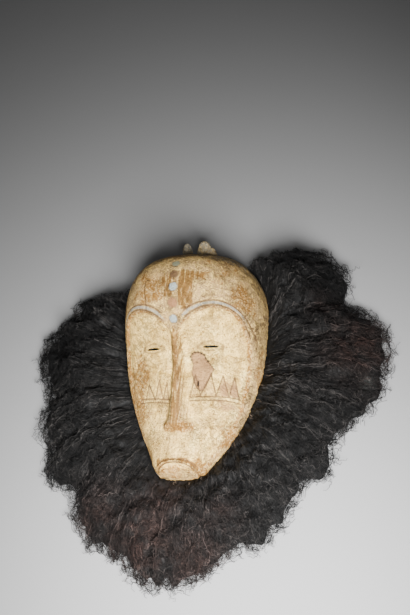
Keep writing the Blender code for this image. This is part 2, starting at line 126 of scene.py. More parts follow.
# Fineness of the mask's surface
FACE_SPACING, CROWN_SPACING = 0.00145, 0.0030   # between rows, below and above these Y values
COARSE_FROM = (0.10, 0.16)
COLUMNS, MIDDLE_SHARE = 188, 0.74       # columns over the top, and how much closer they lie in the middle
HOLLOW_ROWS, HOLLOW_COLUMNS = 76, 52
HOLLOW_NEAR, HOLLOW_LEAST = 0.011, 0.004
SLIT_POWER = 4
SLIT_EASE = 0.014                       # rows bend round an eye slit within this distance
INNER_SLIT = (-0.0035, 0.0095, 0.038, 0.007)   # the slit's shift, length and height in the inner wall

# Lines and marks cut or painted on the face, in plan, and the azimuth and elevation of the sight line along
# which their places were read
MARKS_SEEN_FROM = (math.radians(32.82), math.radians(53.44))
CHEEK_BANDS = (((0.024, -0.1240), (0.060, -0.1215), (0.095, -0.1185), (0.124, -0.1165)),
               ((-0.022, -0.1280), (-0.055, -0.1235), (-0.098, -0.1175)))
CHEEK_BAND_HALF = 0.0038
TEETH = (((0.024, -0.118), (0.034, -0.073), (0.046, -0.116), (0.067, -0.070), (0.079, -0.1145),
          (0.092, -0.071), (0.104, -0.113), (0.114, -0.069), (0.122, -0.111)),
         ((-0.024, -0.124), (-0.031, -0.086), (-0.038, -0.122), (-0.050, -0.080), (-0.058, -0.121),
          (-0.076, -0.086), (-0.083, -0.119)))
PATCH = ((0.023, -0.037), (0.030, -0.030), (0.043, -0.029), (0.054, -0.034), (0.057, -0.041),
         (0.073, -0.060), (0.065, -0.078), (0.058, -0.095), (0.051, -0.105), (0.046, -0.107),
         (0.038, -0.101), (0.031, -0.086), (0.0255, -0.068), (0.029, -0.053), (0.023, -0.037))
PATCH_HOLE = (0.0400, -0.0910, 0.0027, 0.0070)
TACK_SPACING, TACK_RADIUS, TACK_DEPTH = 0.0068, 0.0013, 0.0013
CRACKS = (((-0.055, 0.099), (-0.061, 0.103), (-0.0664, 0.098), (-0.0668, 0.080), (-0.0640, 0.062),
           (-0.0648, 0.044)),
          ((-0.0100, 0.1655), (0.0010, 0.1700), (0.0110, 0.1705)),
          ((-0.0090, 0.1300), (0.0005, 0.1270), (0.0080, 0.1262)),
          ((0.104, 0.146), (0.110, 0.142)), ((0.0385, -0.0475), (0.0360, -0.0485)))
PHILTRUM = ((-0.0142, -0.203), (-0.0169, -0.222), (-0.0194, -0.243))
FAN_FROM, FAN_TO = (-0.088, -0.030), ((-0.118, -0.034), (-0.112, -0.047), (-0.100, -0.056))
STAINS = ((-0.104, -0.080, 0.036, 0.078, 1.00), (-0.088, -0.152, 0.028, 0.042, 0.50),
          (-0.055, 0.080, 0.055, 0.052, 0.72), (0.134, 0.085, 0.024, 0.046, 0.80),
          (0.156, -0.045, 0.012, 0.070, 0.42), (0.078, 0.106, 0.040, 0.022, 0.42),
          (0.103, -0.190, 0.024, 0.040, 0.42), (0.000, 0.175, 0.080, 0.032, 0.32),
          (-0.130, 0.060, 0.025, 0.050, 0.45), (0.048, -0.262, 0.022, 0.024, 0.55),
          (-0.040, -0.258, 0.014, 0.016, 0.45), (0.100, 0.150, 0.045, 0.035, 0.32),
          (-0.062, -0.225, 0.014, 0.022, 0.40))     # middle, reach both ways and strength
DOTS = {"white": ((0.0034, 0.0788, 0.0105), (-0.0032, 0.0254, 0.0100)), "green": ((0.004, 0.1345, 0.0100),),
        "pink": ((0.0007, 0.0490, 0.0125),), "brown": ((0.0041, 0.1060, 0.0105),)}
DOT_TONES = {"white": linear(178, 190, 186), "green": linear(122, 130, 108), "pink": linear(144, 100, 66),
             "brown": linear(98, 72, 48)}

# Outline of the raffia fringe, how far it reaches at each bearing, and each hank's two bearings and thickness,
# as the solids have them
FRINGE_REACH = np.array([(-222, 0.268), (-216, 0.298), (-210.5, 0.346), (-206, 0.372), (-202, 0.362),
                         (-197.5, 0.376), (-193, 0.398), (-188, 0.404), (-181, 0.400), (-171, 0.368),
                         (-165, 0.364), (-157, 0.394), (-148, 0.390), (-138, 0.422), (-129, 0.392),
                         (-121, 0.440), (-110, 0.460), (-103, 0.470), (-95, 0.500), (-84, 0.492),
                         (-73, 0.446), (-64, 0.454), (-55, 0.412), (-48, 0.391), (-39, 0.414),
                         (-32, 0.376), (-27, 0.380), (-19, 0.410), (-12, 0.424), (-3, 0.432),
                         (7, 0.428), (14, 0.398), (21.5, 0.352), (27, 0.384), (33, 0.394), (39, 0.390),
                         (44.5, 0.373), (49, 0.345), (53, 0.305), (57, 0.262), (62, 0.225)])
HANKS = ((21.5, 61, 0.100), (7, 21.5, 0.070), (-11, 7, 0.065), (-30, -11, 0.060), (-48, -30, 0.055),
         (-65, -48, 0.055), (-79, -65, 0.055), (-95, -79, 0.055), (-111, -95, 0.055), (-129, -111, 0.055),
         (-147, -129, 0.060), (-165, -147, 0.065), (-184, -165, 0.070), (-201, -184, 0.070),
         (-222, -201, 0.080))
HANK_RIM_GAP = 0.0008
HANK_PROFILE = np.array([(0.0, 0.22), (0.12, 0.55), (0.30, 0.92), (0.5, 1.0), (0.75, 0.78), (1.0, 0.28)])
HANK_SHOULDER = 0.80
HANK_LUMP, HANK_LUMP_WAVES, HANK_SHIFT = 0.08, (9.0, 2.6), 1.7

# Fibres
CORE_STEPS = (18, 34)       # divisions of a hank's packed inside, across and along
CORE_REACH, CORE_RISE = 0.972, 0.88   # its size as a share of the hank's reach and thickness
CLUMP_SIZES = (0.075, 0.030)
CLUMP_DEPTHS = (0.13, 0.13) # rise and fall of tufts, as shares of the thickness
STRAY_SHARE = 0.60          # of the way a fibre strays past the outline that it keeps
STRAND_STEPS, CURL_STEPS = 11, 12
EDGE_TUFT, EDGE_TUFT_SIZE = 0.020, 0.040   # depth and length of the tufts along the outline
LEAST_HEIGHT = 0.0012       # of a fibre's middle over the ground
RUST_SPOTS = ((0.375, 0.005, 0.075, 1.0), (0.295, 0.102, 0.035, 0.5), (-0.060, -0.420, 0.095, 0.9),
              (-0.165, -0.365, 0.070, 0.7), (0.060, -0.450, 0.070, 0.8), (0.100, -0.360, 0.050, 0.5),
              (-0.030, -0.335, 0.055, 0.8))   # middle, reach and strength
# The gaps' darkness is partly painted shade: fibre tones are lowered there as well as the core sunk
GAPS = ((-0.096, -0.344, 0.014), (0.085, -0.331, 0.013), (0.097, -0.402, 0.014), (0.134, -0.321, 0.012),
        (0.020, -0.400, 0.011), (-0.150, -0.420, 0.013), (0.255, -0.215, 0.016), (-0.330, 0.060, 0.022),
        (0.300, 0.160, 0.018), (-0.250, -0.230, 0.016))   # dark gaps between locks: middle and reach
THIN_SPOT = (0.382, -0.065, 0.024)
RIM_KNOTS = {4: 2, 5: 4, 6: 3, 8: 4}   # pale knots of undyed fibre at the rim, for each hank

# Camera: found by fitting the mask's outline and features in the photo's frame
IMAGE_WIDTH, IMAGE_HEIGHT = 410, 615
SENSOR_HEIGHT = 36.0


class NgilWoodSettings(bpy.types.PropertyGroup):
    """Sizes and colours of the carved wood."""
    relief: FloatProperty(name="Relief", description="Depth of the fine cuts over their usual depth",
                          default=1.0, min=0.0, max=3.0)
    tool_marks: FloatProperty(name="Tool marks", description="Rise and fall left by the adze",
                              default=0.0004, min=0.0, unit="LENGTH")
    gouge_marks: FloatProperty(name="Gouge marks", description="Depth of the scallops in the hollow",
                               default=0.0009, min=0.0, unit="LENGTH")
    kaolin: FloatVectorProperty(name="Kaolin", description="White clay on the face", subtype="COLOR",
                                default=linear(252, 213, 124))
    beige: FloatVectorProperty(name="Worn kaolin", description="Rubbed clay on the forehead and sides",
                               subtype="COLOR", default=linear(194, 160, 106))
    ochre: FloatVectorProperty(name="Ochre", description="Deposit in cuts and worn places", subtype="COLOR",
                               default=linear(130, 88, 30))
    umber: FloatVectorProperty(name="Umber", description="Bare old wood in the deepest wear", subtype="COLOR",
                               default=linear(66, 47, 26))
    blue: FloatVectorProperty(name="Blue-grey", description="Paint of the brows and dots", subtype="COLOR",
                              default=linear(160, 166, 160))
    rose: FloatVectorProperty(name="Rose", description="Paint of the teeth and the patch", subtype="COLOR",
                              default=linear(150, 112, 74))


class NgilRaffiaSettings(bpy.types.PropertyGroup):
    """Sizes and colours of the fringe."""
    strands: IntProperty(name="Strands", description="Long fibres for each square metre of the fringe",
                         default=11000, min=10)
    curls: IntProperty(name="Curls", description="Short kinked fibres for each square metre of the fringe",
                       default=22000, min=10)
    fibre_radius: FloatProperty(name="Fibre radius", description="Radius of a fibre at its root",
                                default=0.00066, min=0.0001, unit="LENGTH")
    kink: FloatProperty(name="Kink", description="Turn of a short fibre from one step to the next",
                        default=math.radians(48), subtype="ANGLE", unit="ROTATION")
    seed: IntProperty(name="Seed", description="Start of the random draws", default=7, min=0)
    # Dark fibre is also the colour of the packed inside, where it is painted shade of the fringe's depth
    dark: FloatVectorProperty(name="Dark fibre", description="Fibre deep in the fringe", subtype="COLOR",
                              default=linear(7, 7, 7))
    light: FloatVectorProperty(name="Light fibre", description="Dry fibre on top", subtype="COLOR",
                               default=linear(64, 61, 59))
    rust: FloatVectorProperty(name="Rust fibre", description="Fibre where the dye has turned reddish",
                              subtype="COLOR", default=linear(61, 44, 39))
    straw: FloatVectorProperty(name="Straw", description="Undyed knots at the rim", subtype="COLOR",
                               default=linear(84, 72, 60))


class NgilStageSettings(bpy.types.PropertyGroup):
    """Camera, floor and lights."""
    azimuth: FloatProperty(name="Azimuth", description="Camera's bearing round the mask, from -Y towards +X",
                           default=math.radians(32.82), subtype="ANGLE", unit="ROTATION")
    elevation: FloatProperty(name="Elevation", description="Camera's height over the floor", subtype="ANGLE",
                             default=math.radians(53.44), unit="ROTATION")
    roll: FloatProperty(name="Roll", description="Camera's turn about its view axis", subtype="ANGLE",
                        default=math.radians(-31.17), unit="ROTATION")
    distance: FloatProperty(name="Distance", description="Camera to the mask's middle", default=1.986,
                            unit="LENGTH")
    aim_right: FloatProperty(name="Aim right", description="Camera's offset to its right", default=0.0148,
                             unit="LENGTH")
    aim_up: FloatProperty(name="Aim up", description="Camera's offset upwards in its frame", default=0.1310,
                          unit="LENGTH")
    focal_pixels: FloatProperty(name="Focal length", description="In pixels of the photo's frame",
                                default=877.4)
    floor: FloatVectorProperty(name="Floor", description="Colour of the floor", subtype="COLOR",
                               default=(0.26, 0.26, 0.26))
    key_power: FloatProperty(name="Key light", description="Power of the light at the chin's side",
                             default=35.0, min=0.0, unit="POWER")
    fill_power: FloatProperty(name="Fill light", description="Power of the light overhead", default=3.4,
                              min=0.0, unit="POWER")
    ambient: FloatProperty(name="Ambient", description="Strength of the light from all round", default=0.07,
                           min=0.0)


# Curves and simple functions
def through(stations, x):
    """Cubic curve through the stations, each slope taken from its two neighbours."""
    at, value = stations[:, 0], stations[:, 1]
    slope = np.gradient(value, at)
    i = np.clip(np.searchsorted(at, x) - 1, 0, len(at) - 2)
    span = at[i + 1] - at[i]
    t = np.clip((x - at[i]) / span, 0.0, 1.0)
    start = (1 + 2 * t) * (1 - t) ** 2 * value[i] + t * (1 - t) ** 2 * span * slope[i]
    return start + t * t * (3 - 2 * t) * value[i + 1] + t * t * (t - 1) * span * slope[i + 1]


def smooth(low, high, x):
    """0 below low, 1 above high, and a smooth ramp between."""
    t = np.clip((x - low) / (high - low), 0.0, 1.0)
    return t * t * (3 - 2 * t)


def bump(distance, width):
    """Bell of height 1 and the given half width: e to minus the square of distance over width."""
    return np.exp(-(distance / width) ** 2)


def blob(plan, centre, reach, seed=0):
    """Soft patch: 1 at its centre and 0 past its reach, with an edge that waves in and out."""
    off = (plan - centre) / reach
    bearing = np.arctan2(off[:, 1], off[:, 0])
    edge = 1 + 0.16 * np.sin(3 * bearing + seed) + 0.10 * np.sin(5 * bearing + 2 * seed)
    return 1 - smooth(0.20, 1.05, np.hypot(off[:, 0], off[:, 1]) / edge)


def waves(points, size, seed):
    """Uneven surface between -1 and 1: a sum of sines along random directions, about one size long each."""
    draws = np.random.default_rng(seed)
    total = np.zeros(len(points))
    for _ in range(9):
        direction = draws.normal(size=points.shape[1])
        direction *= draws.uniform(0.6, 1.6) * 2 * math.pi / size / np.linalg.norm(direction)
        total += np.sin(points @ direction + draws.uniform(0, 2 * math.pi))
    return total / 4.0


def end_factor(y):
    """Closes the spindle: superelliptic ends, blunt at the chin and round at the crown."""
    chin = np.clip((y + HALF_LENGTH) / CHIN_CLOSE, 0.0, 1.0)
    crown = np.clip((HALF_LENGTH - y) / CROWN_CLOSE, 0.0, 1.0)
    chin_part = (1 - (1 - chin) ** CHIN_POWER) ** (1 / CHIN_POWER)
    return chin_part * (1 - (1 - crown) ** CROWN_POWER) ** (1 / CROWN_POWER)


def half_width(y):
    return through(WIDTH_STATIONS, y) * end_factor(y)


def height(y):
    return through(HEIGHT_STATIONS, y) * end_factor(y)


def sway(y):
    return through(SWAY_STATIONS, y)


def outline_run(y):
    """Distance run along the spindle's outline, seen from above and from the side together."""
    steps = np.sqrt(np.diff(y) ** 2 + np.diff(half_width(y)) ** 2 + np.diff(height(y)) ** 2)
    return np.concatenate([[0.0], np.cumsum(steps)])


def even_rows(count):
    """Y values evenly spaced along the spindle's outline."""
    y = -HALF_LENGTH * np.cos(np.linspace(0.0, math.pi, 6001))
    run = outline_run(y)
    return np.interp(np.linspace(0.0, run[-1], count + 1), run, y)


def face_rows():
    """Y values spaced closely over the face and wider over the crown."""
    y = -HALF_LENGTH * np.cos(np.linspace(0.0, math.pi, 9001))
    spacing = FACE_SPACING + (CROWN_SPACING - FACE_SPACING) * smooth(*COARSE_FROM, y)
    count = np.concatenate([[0.0], np.cumsum(np.diff(outline_run(y)) / spacing[1:])])
    return np.interp(np.linspace(0.0, count[-1], int(count[-1]) + 1), count, y)


def top_over(x, y):
    """Height of the plain spindle over points in plan."""
    inner = 1 - np.minimum(np.abs(x) / half_width(y), 1.0) ** SECTION_POWER
    return RIM_LIFT + height(y) * inner ** (1 / SECTION_POWER)


def mask_centre():
    """The mask's own origin in the frame, from the box of its solid."""
    low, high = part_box("mask")
    y = even_rows(600)
    middle = ((sway(y) - half_width(y)).min() + (sway(y) + half_width(y)).max()) / 2
    return Vector(((low.x + high.x) / 2 - middle, low.y + HALF_LENGTH, 0.0))


# Lines in plan
def heart_outline():
    """Right half of the face's edge in plan: inner arch, outer arch, then down beside the cheek."""
    turn = np.linspace(0.0, math.pi / 2, 24)
    peak_x, peak_y = ARCH_PEAK
    inner = 2 / ARCH_INNER_POWER
    inner_x = peak_x * (1 - np.cos(turn) ** inner)
    inner_y = CUSP_Y + (peak_y - CUSP_Y) * np.sin(turn) ** inner
    reach, drop, power = ARCH_OUTER
    outer_x = peak_x + reach * np.sin(turn) ** (2 / power)
    outer_y = peak_y - drop + drop * np.cos(turn) ** (2 / power)
    side_y = np.linspace(peak_y - drop, MOUTH_CORNER[1], 40)[1:]
    share = FACE_EDGE[1] + (FACE_EDGE[0] - FACE_EDGE[1]) * smooth(-0.19, -0.02, side_y)
    side_x = share * half_width(side_y)
    side_x[-1] = MOUTH_CORNER[0]
    x = np.concatenate([inner_x, outer_x[1:], side_x])
    y = np.concatenate([inner_y, outer_y[1:], side_y])
    return np.stack([x, y], axis=-1)


def distance_to_line(points, line):
    """Distance from each point to a chain of straight pieces, in two or three dimensions."""
    best = np.full(len(points), np.inf)
    line = np.asarray(line, float)
    for start, end in zip(line[:-1], line[1:]):
        piece = end - start
        share = np.clip((points - start) @ piece / max(piece @ piece, 1e-12), 0.0, 1.0)
        best = np.minimum(best, np.linalg.norm(points - start - share[:, None] * piece, axis=1))
    return best


def inside_outline(points, outline):
    """Even-odd test: inside where a level line from the point crosses the closed outline an odd number of times."""
    inside = np.zeros(len(points), bool)
    closed = np.concatenate([outline, outline[:1]])
    for (x0, y0), (x1, y1) in zip(closed[:-1], closed[1:]):
        if y0 == y1:
            continue
        crosses = (points[:, 1] > min(y0, y1)) & (points[:, 1] <= max(y0, y1))
        inside ^= crosses & (points[:, 0] < x0 + (points[:, 1] - y0) / (y1 - y0) * (x1 - x0))
    return inside


def into_face(plan):
    """Signed distance into the heart-shaped face from its edge, in leaned plan coordinates."""
    mirrored = np.stack([np.abs(plan[:, 0]), plan[:, 1]], axis=-1)
    edge = heart_outline()
    closed = np.concatenate([edge, [(-0.01, edge[-1, 1]), (-0.01, edge[0, 1])]])
    gap = distance_to_line(mirrored, edge)
    return np.where(inside_outline(mirrored, closed), gap, -gap)


def mouth_arc():
    """The mouth as a down-turned arc round the front of the chin, in three dimensions."""
    share = np.linspace(-1.0, 1.0, 41)
    fall = np.abs(share) ** MOUTH_POWER
    x = MOUTH_CORNER[0] * share
    y = MOUTH_TOP_Y + (MOUTH_CORNER[1] - MOUTH_TOP_Y) * fall
    return np.stack([x, y, top_over(x, y)], axis=-1)


def above_mouth(points):
    """Signed distance above the mouth's arc, and how strongly the lips show there."""
    x, y, z = points.T
    arc = mouth_arc()
    arc_y, arc_z = np.interp(x, arc[:, 0], arc[:, 1]), np.interp(x, arc[:, 0], arc[:, 2])
    side_of = np.sign((y - arc_y) * MOUTH_UP[0] + (z - arc_z) * MOUTH_UP[1])
    strength = 1 - smooth(MOUTH_CORNER[0] + MOUTH_FADE[0], MOUTH_CORNER[0] + MOUTH_FADE[1], np.abs(x))
    return distance_to_line(points, arc) * side_of, strength


def leaned(points):
    """Plan coordinates that lean with the nose and the inner brows."""
    x, y = points[:, 0], points[:, 1]
    x = x - through(NOSE_LEAN, y) * (1 - smooth(*LEAN_FADE, np.abs(x)))
    return np.stack([x, y], axis=-1)


def eye_ring(side, y, half_height):
    """Elliptic distance round an eye: 1 on the ellipse that is as wide as the lids and as high as given."""
    tilted = y - EYE[1] - math.tan(math.radians(EYE_TILT)) * (side - EYE[0])
    return np.hypot((side - EYE[0]) / LID[0], tilted / half_height)


def over_brow(plan):
    """1 where the brow band runs, fading out at its inner end."""
    return smooth(*BROW_START[0], plan[:, 1]) * smooth(*BROW_START[1], np.abs(plan[:, 0]))


def nose_form(plan):
    """Share of the nose over each point, 1 on its ridge, and its rise there."""
    side, y = np.abs(plan[:, 0]), plan[:, 1]
    ridge = NOSE_TOP[0] + (NOSE_TOP[1] - NOSE_TOP[0]) * smooth(0.0, NOSE_END, y)
    slope = np.clip((side - ridge) / (through(NOSE_FOOT, y) - ridge), 0.0, 1.0)
    share = (1 - slope) * smooth(NOSE_END, NOSE_END + NOSE_END_STEP, y) * (y < NOSE_ROOT)
    return share, through(NOSE_RISE, y)


def carving(points):
    """How far the carving stands out of the plain spindle (+) or is cut into it (-), at each point."""
    plan = leaned(points)
    side, y = np.abs(plan[:, 0]), plan[:, 1]
    into = into_face(plan)
    step = FACE_CUT[0] + (FACE_CUT[1] - FACE_CUT[0]) * smooth(*BROW_FADE, y)
    cut = -step * smooth(-FACE_STEP / 2, FACE_STEP / 2, into)
    cut -= CHEEK_DISH * smooth(0.0, CHEEK_REACH, into)
    for line in BROW_LINES:
        cut -= BROW_CUT * over_brow(plan) * bump(into + line, BROW_LINE_WIDTH)
    nose, rise = nose_form(plan)
    cut = cut * (1 - nose) + nose * rise
    wing_x, wing_y, wing_width, wing_rise = NOSTRIL
    cut += wing_rise * bump(np.hypot(side - wing_x, y - wing_y), wing_width)
    cut += LID[2] * (1 - smooth(0.0, 1.0, eye_ring(side, y, LID[1])))
    up, mouth = above_mouth(points)
    cut += mouth * LIP_RISE * bump(up - LIP_UP, LIP_WIDTH)
    cut -= mouth * SLIT_CUT * bump(up, SLIT_WIDTH)
    cut += mouth * UNDERLIP_RISE * bump(up + UNDERLIP_DOWN, LIP_WIDTH)
    return cut * smooth(*CARVING_FADE, points[:, 2])


# Marks on the face
def beside(line, offset):
    """The line moved sideways by an offset."""
    line = np.asarray(line)
    along = np.gradient(line, axis=0)
    along /= np.linalg.norm(along, axis=1, keepdims=True)
    return line + offset * np.stack([-along[:, 1], along[:, 0]], axis=-1)


def along_line(line, spacing):
    """Points at an even spacing along a chain of straight pieces."""
    line = np.asarray(line)
    run = np.concatenate([[0.0], np.cumsum(np.linalg.norm(np.diff(line, axis=0), axis=1))])
    at = np.linspace(0.0, run[-1], max(int(run[-1] / spacing), 1) + 1)[:-1]
    return np.stack([np.interp(at, run, line[:, 0]), np.interp(at, run, line[:, 1])], axis=-1)


def nearest_line(plan, lines):
    return np.min([distance_to_line(plan, line) for line in lines], axis=0)


def nearest_point(plan, places):
    return np.min([np.hypot(*(plan - place).T) for place in places], axis=0)


def face_marks(plan):
    """Distances in plan from the lines and spots that are cut or painted on the face."""
    bands = [beside(line, sign * CHEEK_BAND_HALF) for line in CHEEK_BANDS for sign in (-1, 1)]
    side, y = np.abs(plan[:, 0]), plan[:, 1]
    upper = np.abs(eye_ring(side, y, 0.0088) - 1) * 0.0088 + 1.0 * (y < EYE[1] - 0.003)
    lower = np.abs(eye_ring(side, y, 0.0062) - 1) * 0.0062 + 1.0 * (y > EYE[1] + 0.003)
    hole = np.hypot((plan[:, 0] - PATCH_HOLE[0]) / PATCH_HOLE[2], (y - PATCH_HOLE[1]) / PATCH_HOLE[3])
    return {"bands": nearest_line(plan, bands),
            "band_middles": nearest_line(plan, CHEEK_BANDS),
            "teeth": nearest_line(plan, TEETH),
            "patch": distance_to_line(plan, PATCH),
            "tacks": nearest_point(plan, along_line(PATCH, TACK_SPACING)),
            "hole": hole,
            "cracks": nearest_line(plan, CRACKS),
            "lids": np.minimum(upper, lower),
            "scratches": nearest_line(plan, [PHILTRUM] + [(FAN_FROM, end) for end in FAN_TO])}


def fine_cuts(marks, into):
    """Depth of the finer cuts, from the distances to their lines."""
    cut = 0.0007 * bump(marks["bands"], 0.0012) + 0.0008 * bump(marks["teeth"], 0.0011)
    cut += 0.0007 * bump(marks["patch"], 0.0009) + TACK_DEPTH * bump(marks["tacks"], TACK_RADIUS)
    cut += 0.0050 * (1 - smooth(0.55, 1.1, marks["hole"])) + 0.0016 * bump(marks["cracks"], 0.0009)
    cut += 0.0010 * bump(marks["lids"], 0.0014) + 0.0007 * bump(marks["scratches"], 0.0012)
    return cut + 0.0005 * bump(into + 0.001, 0.0012)


def paint(plan, leaning, into, marks, points):
    """Shares of each paint and deposit at each point of the outside."""
    x, y = plan.T
    side = np.abs(leaning[:, 0])
    face = smooth(-0.001, 0.002, into)
    nose, _ = nose_form(leaning)
    up, mouth = above_mouth(points)
    low_face = smooth(-0.12, -0.17, y)
    teeth = np.zeros(len(plan))
    for chain in TEETH:
        teeth += inside_outline(plan, np.array(chain))
    patch = inside_outline(plan, np.array(PATCH[:-1])) * 1.0

    edge = bump(into, 0.0024) * (0.65 + 0.35 * smooth(0.06, 0.13, side))
    edge += 0.7 * bump(into + 0.011, 0.0024) * low_face * (side > 0.03)
    nostrils = 1 - smooth(0.6, 1.3, np.hypot((side - 0.017) / 0.020, (y + 0.182) / 0.013))
    lips = mouth * (bump(up - LIP_UP - 0.0045, 0.0034) + bump(up, 0.0026) + 0.38 * smooth(-0.004, -0.010, up))
    stains = sum(share * blob(plan, (cx, cy), (reach_x, reach_y), seed)
                 for seed, (cx, cy, reach_x, reach_y, share) in enumerate(STAINS))
    streak = smooth(0.012, 0.017, x) * smooth(0.047, 0.041, x) * smooth(0.034, 0.046, y) * smooth(0.122, 0.108, y)
    streak += 0.8 * smooth(0.036, 0.045, x) * smooth(0.078, 0.060, x) * bump(y - 0.104, 0.010)
    streak += 0.55 * smooth(-0.030, -0.018, x) * smooth(0.016, 0.004, x) * smooth(0.052, 0.066, y) * smooth(0.122, 0.1, y)
    ridge = bump(leaning[:, 0] + 0.001, 0.0072) + 0.34 * bump(leaning[:, 0] - 0.012, 0.006)
    ridge += 0.28 * bump(leaning[:, 0] - 0.024, 0.005) * smooth(-0.06, -0.12, y)
    streak += 1.0 * ridge * smooth(-0.20, -0.17, y) * smooth(0.035, -0.01, y)
    nose_end = smooth(-0.170, -0.177, y) * smooth(-0.194, -0.187, y) * smooth(0.037, 0.030, side)
    streak += 0.45 * nose_end + 0.9 * mouth * bump(up - LIP_UP - 0.0035, 0.0040)
    figure = blob(plan, (-0.105, -0.020), (0.040, 0.045), 3) + 0.8 * blob(plan, (-0.09, -0.07), (0.05, 0.05), 5)
    figure += 0.8 * blob(plan, (0.120, 0.100), (0.055, 0.060), 6) + 0.6 * blob(plan, (0.150, 0.010), (0.02, 0.08), 7)

    band = over_brow(leaning) * (1 - smooth(0.0010, 0.0034, np.abs(into + sum(BROW_LINES) / 2)))
    band *= smooth(-0.150, -0.128, -side) * smooth(0.004, 0.030, y)
    brow_lines = over_brow(leaning) * (bump(into + BROW_LINES[0], 0.0017) + bump(into + BROW_LINES[1], 0.0017))
    grey = 0.15 * (marks["band_middles"] < CHEEK_BAND_HALF) + band + 0.45 * smooth(0.13, 0.21, y)
    lines = 1.0 * bump(marks["bands"], 0.0016) + 1.0 * bump(marks["teeth"], 0.0016) + 0.95 * brow_lines
    lines += mouth * (0.75 * bump(up - LIP_UP - 0.0045, 0.0016) + 0.55 * bump(up, 0.0014))
    # The lids' term darkens the soft creases round the eyes: painted shade
    lines += 1.0 * bump(marks["patch"], 0.0012) + 0.55 * bump(marks["lids"], 0.0018)
    lines += 0.55 * bump(marks["scratches"], 0.0014)
    # Near-black painted shade in the tack holes, the patch's hole, the cracks and the mouth's slit
    crevice_shade = 1.5 * bump(marks["tacks"], 0.0021) * (0.20 + 0.80 * (y > -0.048)) + (1 - smooth(0.7, 1.2, marks["hole"]))
    crevice_shade += 0.95 * bump(marks["cracks"], 0.0012) + 0.7 * mouth * bump(up, 0.0010)
    wash = 0.9 * blob(plan, (0.100, -0.132), (0.034, 0.018), 8) + 0.9 * blob(plan, (0.104, -0.096), (0.026, 0.030), 9)
    wash += 0.5 * blob(plan, (0.128, 0.0), (0.014, 0.05), 9)
    low_wear = 1 - 0.46 * smooth(-0.03, -0.17, y)
    shares = {"kaolin": 0.18 + 0.82 * face * (1 - 0.75 * nose) * low_wear,
              "ochre": 1.1 * edge + 1.0 * nostrils + 1.3 * lips + 1.5 * stains,
              "streak": streak,
              "figure": figure,
              "blue": grey,
              "rose": 1.0 * patch + 0.46 * teeth + 0.75 * wash + 0.3 * nose * (leaning[:, 0] > 0) * (y > -0.16),
              "lines": lines,
              "crevice_shade": crevice_shade}
    return {name: np.clip(value, 0.0, 1.0) for name, value in shares.items()}


# Meshes
def grid_faces(rows, columns, skip=()):
    """Four-cornered faces of a grid, less the cells in each hole (row, first column, last column)."""
    index = np.arange(rows * columns).reshape(rows, columns)
    keep = np.ones((rows - 1, columns - 1), bool)
    for row, first, last in skip:
        keep[row, first:last] = False
    quads = np.stack([index[:-1, :-1], index[:-1, 1:], index[1:, 1:], index[1:, :-1]], axis=-1)
    return quads[keep]


def new_mesh(name, places, *face_sets):
    """Mesh from points and from arrays of faces, each array with its own number of corners a face."""
    mesh = bpy.data.meshes.new(name)
    corners = np.concatenate([faces.ravel() for faces in face_sets]).astype(np.int32)
    sizes = np.concatenate([np.full(len(faces), faces.shape[1]) for faces in face_sets])
    starts = np.concatenate([[0], np.cumsum(sizes)[:-1]]).astype(np.int32)
    mesh.vertices.add(len(places))
    mesh.vertices.foreach_set("co", places.astype(np.float32).ravel())
    mesh.loops.add(len(corners))
    mesh.loops.foreach_set("vertex_index", corners)
    mesh.polygons.add(len(sizes))
    mesh.polygons.foreach_set("loop_start", starts)
    mesh.update(calc_edges=True)
    return mesh


def set_attribute(mesh, name, values):
    mesh.attributes.new(name, "FLOAT", "POINT").data.foreach_set("value", values.astype(np.float32))


def face_outwards(mesh):
    """Turns every face of each closed shell outwards."""
    shape = bmesh.new()
    shape.from_mesh(mesh)
    bmesh.ops.recalc_face_normals(shape, faces=shape.faces)
    shape.to_mesh(mesh)
    shape.free()


def put(name, mesh, materials):
    thing = bpy.data.objects.new(name, mesh)
    bpy.context.scene.collection.objects.link(thing)
    for material in materials:
        mesh.materials.append(material)
    return thing


def bridge(loop_a, turn_a, loop_b, turn_b):
    """Triangles between two closed loops of point numbers.

    Every point stands at a turn between 0 and 1 round its loop. Each step along a loop makes a triangle with the
    point that the other loop has reached at that turn.
    """
    order_a, order_b = np.argsort(turn_a), np.argsort(turn_b)
    a, ta, b, tb = loop_a[order_a], turn_a[order_a], loop_b[order_b], turn_b[order_b]
    met_b = b[np.searchsorted(tb, ta, side="left") - 1]
    met_a = a[np.searchsorted(ta, tb, side="right") - 1]
    return np.concatenate([np.stack([np.roll(a, 1), a, met_b], axis=-1),
                           np.stack([met_a, b, np.roll(b, 1)], axis=-1)])


def section(columns, middle_share):
    """Width and height shares of a superelliptic half ring, its points closer together in the middle."""
    t = np.linspace(1.0, -1.0, columns + 1)
    angle = math.pi / 2 - math.pi / 2 * (middle_share * t + (1 - middle_share) * t ** 3)
    power = 2 / SECTION_POWER
    across = np.sign(np.cos(angle)) * np.abs(np.cos(angle)) ** power
    return across, np.abs(np.sin(angle)) ** power


